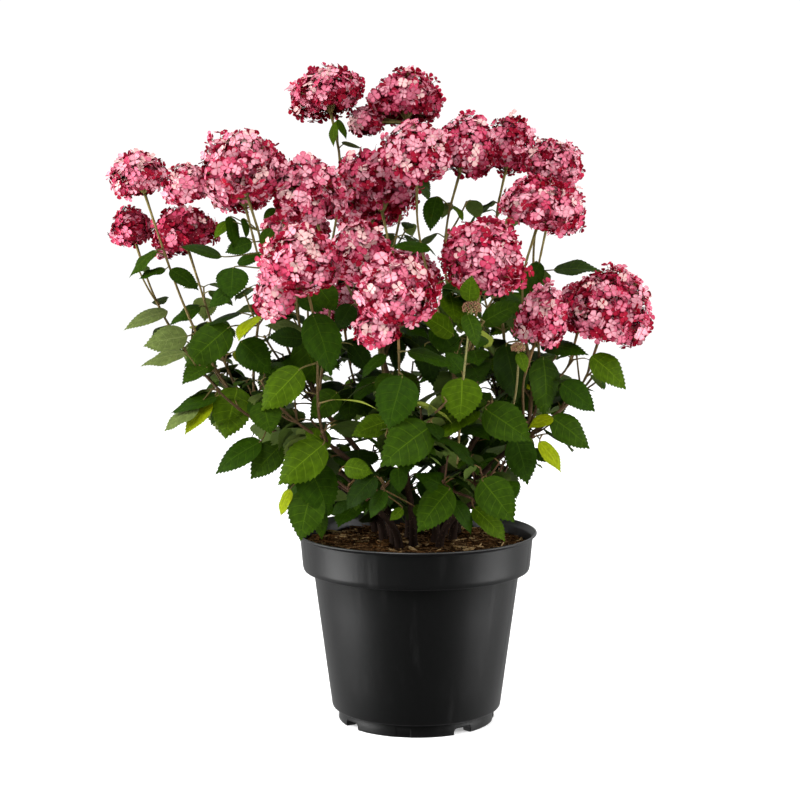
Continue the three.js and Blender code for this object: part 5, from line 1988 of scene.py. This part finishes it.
@dataclass
class Blossom:
    """The flower heads: florets in three layers over each dome, on rays from its neck."""

    plan: Plan
    floret_area: float = 74.0
    underside: float = math.radians(139)
    petal_length: float = 7.1
    petal_width: float = 6.5
    tilt: float = 0.5
    layers: tuple[tuple[float, float], ...] = ((1.0, 0.54), (0.88, 0.34), (0.76, 0.2))
    lumps: int = 14
    lump_depth: float = 0.17
    ragged: float = 0.06
    shapes: tuple[tuple[float, float], ...] = ((0.5, 1.0), (1.9, 0.92), (-0.9, 1.04))  # cup, spread
    outer_rows: tuple[float, ...] = (0.0, 0.38, 0.76, 1.0)
    inner_rows: tuple[float, ...] = (0.0, 0.7, 1.0)
    hub_step: int = 9
    hub_reach: float = 0.52
    bud_grains: int = 110

    def _floret(self, cup: float, spread: float, rows: tuple[float, ...]) -> Surface:
        """A floret of four rounded petals that stand round a small eye.

        A petal is a grid from its claw to its tip and from side to side. Its half width swells to
        three quarters of its length and rounds off at its tip, and it lifts as the square of its
        length share by the cup, and at its sides.

        Args:
            cup: how far the tips lift, in millimetres.
            spread: how broad the petals are, as a share.
            rows: the length shares of the petals' rows of points.

        Returns:
            The floret, facing +Z.
        """
        share, side = np.meshgrid(rows, [-1.0, 0.0, 1.0], indexing="ij")
        swell = np.interp(share, [0.0, 0.38, 0.76, 1.0], [0.14, 0.72, 1.0, 0.55])
        half = swell * self.petal_width / 2 * spread
        out = 0.5 + (self.petal_length - 0.5) * share * (1 - 0.1 * side ** 2 * share)
        lift = cup * share ** 2 + 0.5 * np.abs(side) * share
        petal = np.stack([out, half * side, lift], axis=-1).reshape(-1, 3)
        faces, _ = grid_cells(len(rows), 3, closed=False)
        spots = np.stack([(side + 1) / 2, share], axis=-1).reshape(-1, 2) * 0.96 + 0.02
        petals = []
        for number in range(4):
            turn = number * np.pi / 2 + (0.08 if number % 2 else -0.05)
            size = 1.0 if number % 2 else 0.9
            cosine, sine = np.cos(turn), np.sin(turn)
            spin = np.array([[cosine, sine, 0], [-sine, cosine, 0], [0, 0, 1]])
            points = (petal * size) @ spin + [0, 0, 0.25 * (number % 2)]
            petals.append(Surface(points, faces[:, ::-1], spots[faces[:, ::-1]]))
        return Surface.join(petals)

    def _dome(
        self, centre: Array, axis: Array, width: float, height: float, seed: int
    ) -> tuple[Array, Array, Array, Array]:
        """Spread florets over one dome.

        Directions follow a golden-angle spiral from the top down to the underside. A floret lies
        on the ellipsoid in its direction, in or out by soft lumps and its own chance, and its normal
        is the ellipsoid's, tilted by chance.

        Args:
            centre: the middle of the widest ring.
            axis: the dome's axis.
            width: its full width.
            height: its full height.
            seed: its own seed.

        Returns:
            Places, normals, the share of the way down, and the layer's number of each floret.
        """
        rng = np.random.default_rng(seed)
        area = np.pi * width * (width + 2 * height) / 3 * (1 - math.cos(self.underside)) / 2
        side = unit(np.cross(axis, [0.3, 0.9, 0.1]))
        basis = np.stack([side, np.cross(axis, side), axis])
        lumps = unit(rng.normal(size=(self.lumps, 3)) + [0, 0, 0.4])
        places, normals, down, layer = [], [], [], []
        for number, (scale, share) in enumerate(self.layers):
            count = int(area / self.floret_area * share / self.layers[0][1])
            index = np.arange(count) + 0.5
            level = 1 - (1 - math.cos(self.underside)) * index / count
            turn = GOLDEN_ANGLE * index + number
            way = ring_points(turn, np.sqrt(1 - level ** 2), level)
            way = unit(way + rng.normal(scale=0.07, size=way.shape))
            share_up = np.where(way[:, 2] > 0, self.plan.crown_share, 1 - self.plan.crown_share)
            half = np.stack(np.broadcast_arrays(width / 2, width / 2, height * share_up), axis=-1)
            nearest = (way @ lumps.T).max(axis=1)
            lump = self.lump_depth * (1 - np.exp(-((1 - nearest) / 0.07)))
            reach = scale * (1 - lump) + rng.normal(scale=self.ragged, size=count) + 0.04
            local = way * (half - 2.5) * reach[:, None]
            facing = unit(way / half + rng.normal(scale=self.tilt / 45, size=way.shape))
            places.append(centre + local @ basis)
            normals.append(facing @ basis)
            down.append(index / count)
            layer.append(np.full(count, number))
        return tuple(np.concatenate(rows) for rows in (places, normals, down, layer))

    def _rays(self, neck: Array, axis: Array, places: Array, centre: Array, reach: float) -> Surface:
        """The rays of a head.

        Hubs lie half way out to one floret in a few. A ray runs from the neck's top to each hub,
        bowed upwards, and a thin stalk runs straight from each floret's nearest hub to the floret.

        Args:
            neck: where the head's neck starts.
            axis: the head's axis.
            places: the outer florets' places.
            centre: the middle of the dome's widest ring.
            reach: how far the rays rise over the neck, in millimetres.

        Returns:
            The rays and the stalks.
        """
        hubs = centre + (places[::self.hub_step] - centre) * self.hub_reach
        top = neck + axis * (self.plan.neck_length + reach * 0.25)
        nearest = np.linalg.norm(places[:, None] - hubs[None], axis=-1).argmin(axis=1)
        bend = (top + hubs) / 2 + axis * 0.12 * reach
        rays = np.stack([np.broadcast_to(top, hubs.shape), bend, hubs], axis=1)
        main = tubes(rays, np.array([[1.15, 0.85, 0.6]]) * np.ones((len(hubs), 1)), 4)
        stalks = np.stack([hubs[nearest], places], axis=1)
        fine = tubes(stalks, np.full((len(places), 2), 0.34), 3)
        return Surface.join([main, fine])

    @staticmethod
    def _axes(normals: Array, turn: Array | float = 0.0) -> Array:
        """Give three axes to each normal, with the first turned round it."""
        first = unit(np.cross(normals, OBLIQUE))
        ahead = first * np.cos(turn) + np.cross(normals, first) * np.sin(turn)
        return np.stack([ahead, np.cross(normals, ahead), normals], axis=1)

    @staticmethod
    def _deal(
        spots: Array, down: Array, layer: Array, tone: Tone, seed: int
    ) -> tuple[Array, Array]:
        """Deal a tint and a size to each floret of one dome.

        A floret's draw is its chance plus soft patches, and rises down the dome, so that deeper tints
        paint the shade on the head's underside.

        Args:
            spots: the florets' places.
            down: their shares of the way down.
            layer: their layers.
            tone: the head's tone.
            seed: the dome's seed.

        Returns:
            The numbers of the tints, and the sizes.
        """
        rng = np.random.default_rng(seed + 9000)
        patch = 0.2 * smooth_noise(spots / 17, seed)
        # The rise down the dome is painted shade: deeper tints under the head, paler ones on top.
        draw = np.clip(rng.random(len(spots)) + patch + 0.24 * (down - 0.42), 0, 0.9999)
        outer = np.searchsorted(np.cumsum(TONE_SHARES[tone]), draw)
        inner = np.searchsorted(np.cumsum(INNER_SHARES), draw)
        dealt = np.minimum(np.where(layer == 0, outer, inner), len(PETAL_TINTS) - 1)
        return dealt, 0.82 + 0.46 * rng.random(len(spots)) ** 1.6

    def build(self, effects: Effects) -> None:
        """Build all the heads: florets by tint, their eyes, and the necks with their rays."""
        rows, rays, necks = [], [], []
        for index, bough in enumerate(BOUGHS):
            for number, bloom in enumerate(bough.blooms):
                axis, centre, neck = self.plan.bloom_frame(bloom)
                for part, (middle, width, height) in enumerate(bloom.domes(centre)):
                    seed = (index + 1) * 16 + number + 500 * part
                    spots, facing, down, layer = self._dome(middle, axis, width, height, seed)
                    dealt = self._deal(spots, down, layer, bloom.tone, seed)
                    rows.append((spots, facing, layer, *dealt))
                    rays.append(self._rays(neck, axis, spots[layer == 0], middle, height * 0.4))
                neck_top = self.plan.neck_length + bloom.size[1] * 0.12
                line = neck + axis * np.array([[-0.6], [8], [17], [neck_top]])
                necks.append(tubes(line[None], np.array([[1.5, 1.45, 1.6, 1.9]]), 7))
        places, normals, layer, tint, size = (np.concatenate(column) for column in zip(*rows))
        outside = layer == 0
        rng = np.random.default_rng(77)
        axes = self._axes(normals, 2 * np.pi * rng.random(len(places))[:, None])
        kinds = rng.integers(0, len(self.shapes), len(places))
        florets = [
            (chosen & (kinds == kind), self._floret(*shape, rows))
            for kind, shape in enumerate(self.shapes)
            for chosen, rows in ((outside, self.outer_rows), (~outside, self.inner_rows))
        ]
        heads = [f"bloom_{bough.name}_{i + 1}" for bough in BOUGHS for i in range(len(bough.blooms))]
        for number, petal in enumerate(PETAL_TINTS):
            parts = []
            for mask, floret in florets:
                chosen = mask & (tint == number)
                parts.append(floret.spread(places[chosen], axes[chosen], size[chosen]))
            name = petal.name.replace("petal", "florets")
            add_piece(name, Surface.join(parts), petal.make(effects), heads)
        eyes = self._cone().spread(places[outside], axes[outside], size[outside])
        add_piece("floret_eyes", eyes, FLORET_EYE.make(effects))
        self._buds(effects)
        stem = HEAD_STEM.make(effects)
        add_piece("head_rays", Surface.join(rays), stem)
        add_piece("head_necks", Surface.join(necks), stem)

    def _buds(self, effects: Effects) -> None:
        """Build the bud heads: small cones spread by the golden angle over a dome, and their stems."""
        count = self.bud_grains
        index = np.arange(count) + 0.5
        level = 1 - 1.5 * index / count
        way = ring_points(GOLDEN_ANGLE * index, np.sqrt(1 - level ** 2), level)
        heads = [bud.head + way * np.array([bud.size[0], *bud.size]) / 2 for bud in BUDS]
        scales = between(0.9, 1.7, np.arange(count * len(BUDS)), 41)
        axes = np.tile(self._axes(way), (len(BUDS), 1, 1))
        grains = self._cone().spread(np.concatenate(heads), axes, scales)
        add_piece("bud_heads", grains, BUD_SKIN.make(effects))
        share = np.linspace(0, 1, 16)
        lines = np.stack([bud.curve.at(share) for bud in BUDS])
        radii = np.linspace(1.4, 1.05, 16)[None] * np.ones((len(BUDS), 1))
        add_piece("bud_stems", tubes(lines, radii, 7), BUD_STEM.make(effects))

    @staticmethod
    def _cone() -> Surface:
        """Give a low four-sided cone with a point below as well."""
        points = np.array([
            [0.9, 0, 0.2], [0, 0.9, 0.2], [-0.9, 0, 0.2], [0, -0.9, 0.2], [0, 0, 1.1], [0, 0, -0.2],
        ])
        around = np.arange(4)
        following = (around + 1) % 4
        faces = np.concatenate([triangles(4, around, following), triangles(5, following, around)])
        return Surface(points, faces, np.full((8, 3, 2), 0.5))


# ---------------------------------------------------------------- the studio


@dataclass
class Studio:
    """The camera, the pale floor and the soft lights."""

    camera_place: Point = (-0.0191, -2.072, 0.594)
    camera_pitch: float = 0.106
    lens: float = 81.15
    sensor: float = 36.0
    floor_radius: float = 4.0
    floor_sides: int = 96
    box_size: float = 1.2
    lights: tuple[tuple[str, Point, Point, float], ...] = (
        ("key", (-0.9, -1.9, 2.4), (0.0, 0.0, 0.4), 66),
        ("fill", (1.5, -1.7, 1.7), (0.0, 0.0, 0.4), 26),
        ("left_strip", (-1.7, -0.35, 0.3), (0.0, 0.0, 0.15), 58),
        ("right_strip", (1.7, -0.35, 0.3), (0.0, 0.0, 0.15), 35),
    )  # name, place, target and power

    @staticmethod
    def _object(name: str, data: bpy.types.ID) -> bpy.types.Object:
        """Give a new object of the scene with this data."""
        made = bpy.data.objects.new(name, data)
        bpy.context.scene.collection.objects.link(made)
        return made

    def _camera(self) -> None:
        """Set the camera, level and pitched down a little."""
        data = bpy.data.cameras.new("camera")
        data.lens = self.lens
        data.sensor_width = self.sensor
        camera = self._object("camera", data)
        camera.location = self.camera_place
        camera.rotation_euler = (math.pi / 2 - self.camera_pitch, 0.0, 0.0)
        bpy.context.scene.camera = camera

    def _floor(self) -> None:
        """Lay a round, pale floor just under the pot."""
        rim = ring_points(full_turn(self.floor_sides), self.floor_radius)
        mesh = bpy.data.meshes.new("floor")
        mesh.from_pydata(rim.tolist(), [], [list(range(self.floor_sides))])
        material = bpy.data.materials.new("pale_floor")
        material.use_nodes = True
        shader = material.node_tree.nodes["Principled BSDF"]
        plain = {
            "Base Color": (0.9, 0.9, 0.9, 1), "Roughness": 0.8, "Specular IOR Level": 0.0,
            "Emission Color": (1, 1, 1, 1), "Emission Strength": 0.32,
        }
        for label, value in plain.items():
            shader.inputs[label].default_value = value
        mesh.materials.append(material)
        floor = self._object("floor", mesh)
        floor.visible_glossy = False
        floor.location.z = -0.0002

    def _world(self) -> None:
        """Light the world: white to look at, and for light brighter behind than in front."""
        world = bpy.data.worlds.new("white_room")
        world.use_nodes = True
        bpy.context.scene.world = world
        nodes = Recipe(world.node_tree)
        background = world.node_tree.nodes["Background"]
        way = nodes.add("SeparateXYZ", {0: nodes.add("TexCoord").outputs["Generated"]})
        behind = {0: way.outputs[1], 1: -0.6, 2: 0.7, 3: 0.03, 4: 0.55}
        above = {0: way.outputs[2], 1: 0.1, 2: 0.9, 3: 0.0, 4: 1.1}
        glow = nodes.math("ADD", *(nodes.add("MapRange", part).outputs[0] for part in (behind, above)))
        seen = nodes.add("LightPath").outputs["Is Camera Ray"]
        strength = nodes.add("Mix", {0: seen, 2: glow, 3: 1.05}, data_type="FLOAT").outputs[0]
        world.node_tree.links.new(strength, background.inputs["Strength"])
        background.inputs["Color"].default_value = (1, 1, 1, 1)

    def _softbox(self, name: str, place: Point, target: Point, power: float) -> None:
        """Hang a soft square light that looks at a target.

        Args:
            name: the light's name.
            place: where it hangs, in metres.
            target: what it looks at, in metres.
            power: its power, in watts.
        """
        data = bpy.data.lights.new(name, "AREA")
        data.shape = "RECTANGLE"
        data.size = data.size_y = self.box_size
        data.energy = power
        light = self._object(name, data)
        light.location = place
        aim = np.array(target) - np.array(place)
        rise = math.atan2(aim[2], math.hypot(aim[0], aim[1]))
        light.rotation_euler = (math.pi / 2 + rise, 0.0, math.atan2(-aim[0], aim[1]))
        light.visible_camera = False

    def build(self) -> None:
        """Set up the camera, the floor, the world and the lights, with colours shown as they are."""
        bpy.context.scene.view_settings.view_transform = "Standard"
        self._camera()
        self._floor()
        self._world()
        for light in self.lights:
            self._softbox(*light)


# ---------------------------------------------------------------- the whole


def mass_corners(node: str) -> Array:
    """Give the corners of one of the frame's nodes, in millimetres."""
    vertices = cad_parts[node].data.vertices
    corners = np.empty(3 * len(vertices), dtype=np.float32)
    vertices.foreach_get("co", corners)
    return np.unique(corners.reshape(-1, 3).round(6), axis=0) / MM


def main() -> None:
    """Build the shrub, its pot and the studio."""
    logging.basicConfig(level=logging.INFO, format="%(name)s: %(message)s")
    Studio().build()
    effects = Effects()
    pot = Pot()
    pot.build(effects)
    PottingMix(pot).build(effects)
    plan = Plan()
    foliage = Foliage(plan)
    stems = [(index, shoot) for index in range(len(BOUGHS)) for shoot in plan.shoots(index)]
    front = foliage.front_leaves([shoot for _, shoot in stems])
    corners = [mass_corners(f"leaves_{bough.name}") for bough in BOUGHS]
    leaves = [front] + [foliage.inner_leaves(index, front) for index in range(len(BOUGHS))]
    shoots, twigs = [], []
    for index, shoot in stems:
        grown, places = foliage.shoot_leaves(shoot, corners[index], front)
        leaves.append(grown)
        if shoot.blooming or len(places):
            shoots.append((shoot, places))
            for twig in foliage.side_twigs(shoot):
                small, spots = foliage.twig_leaves(twig, front)
                if len(spots):
                    leaves.append(small)
                    twigs.append((twig, spots))
    every = Leaves.join(leaves)
    LOG.info("leaves: %d, %d of them the front's own", len(every.seed), len(front.seed))
    Limbs(plan).build(effects, shoots, twigs)
    foliage.build(effects, every)
    Blossom(plan).build(effects)
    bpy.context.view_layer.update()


if __name__ == "__main__":
    main()
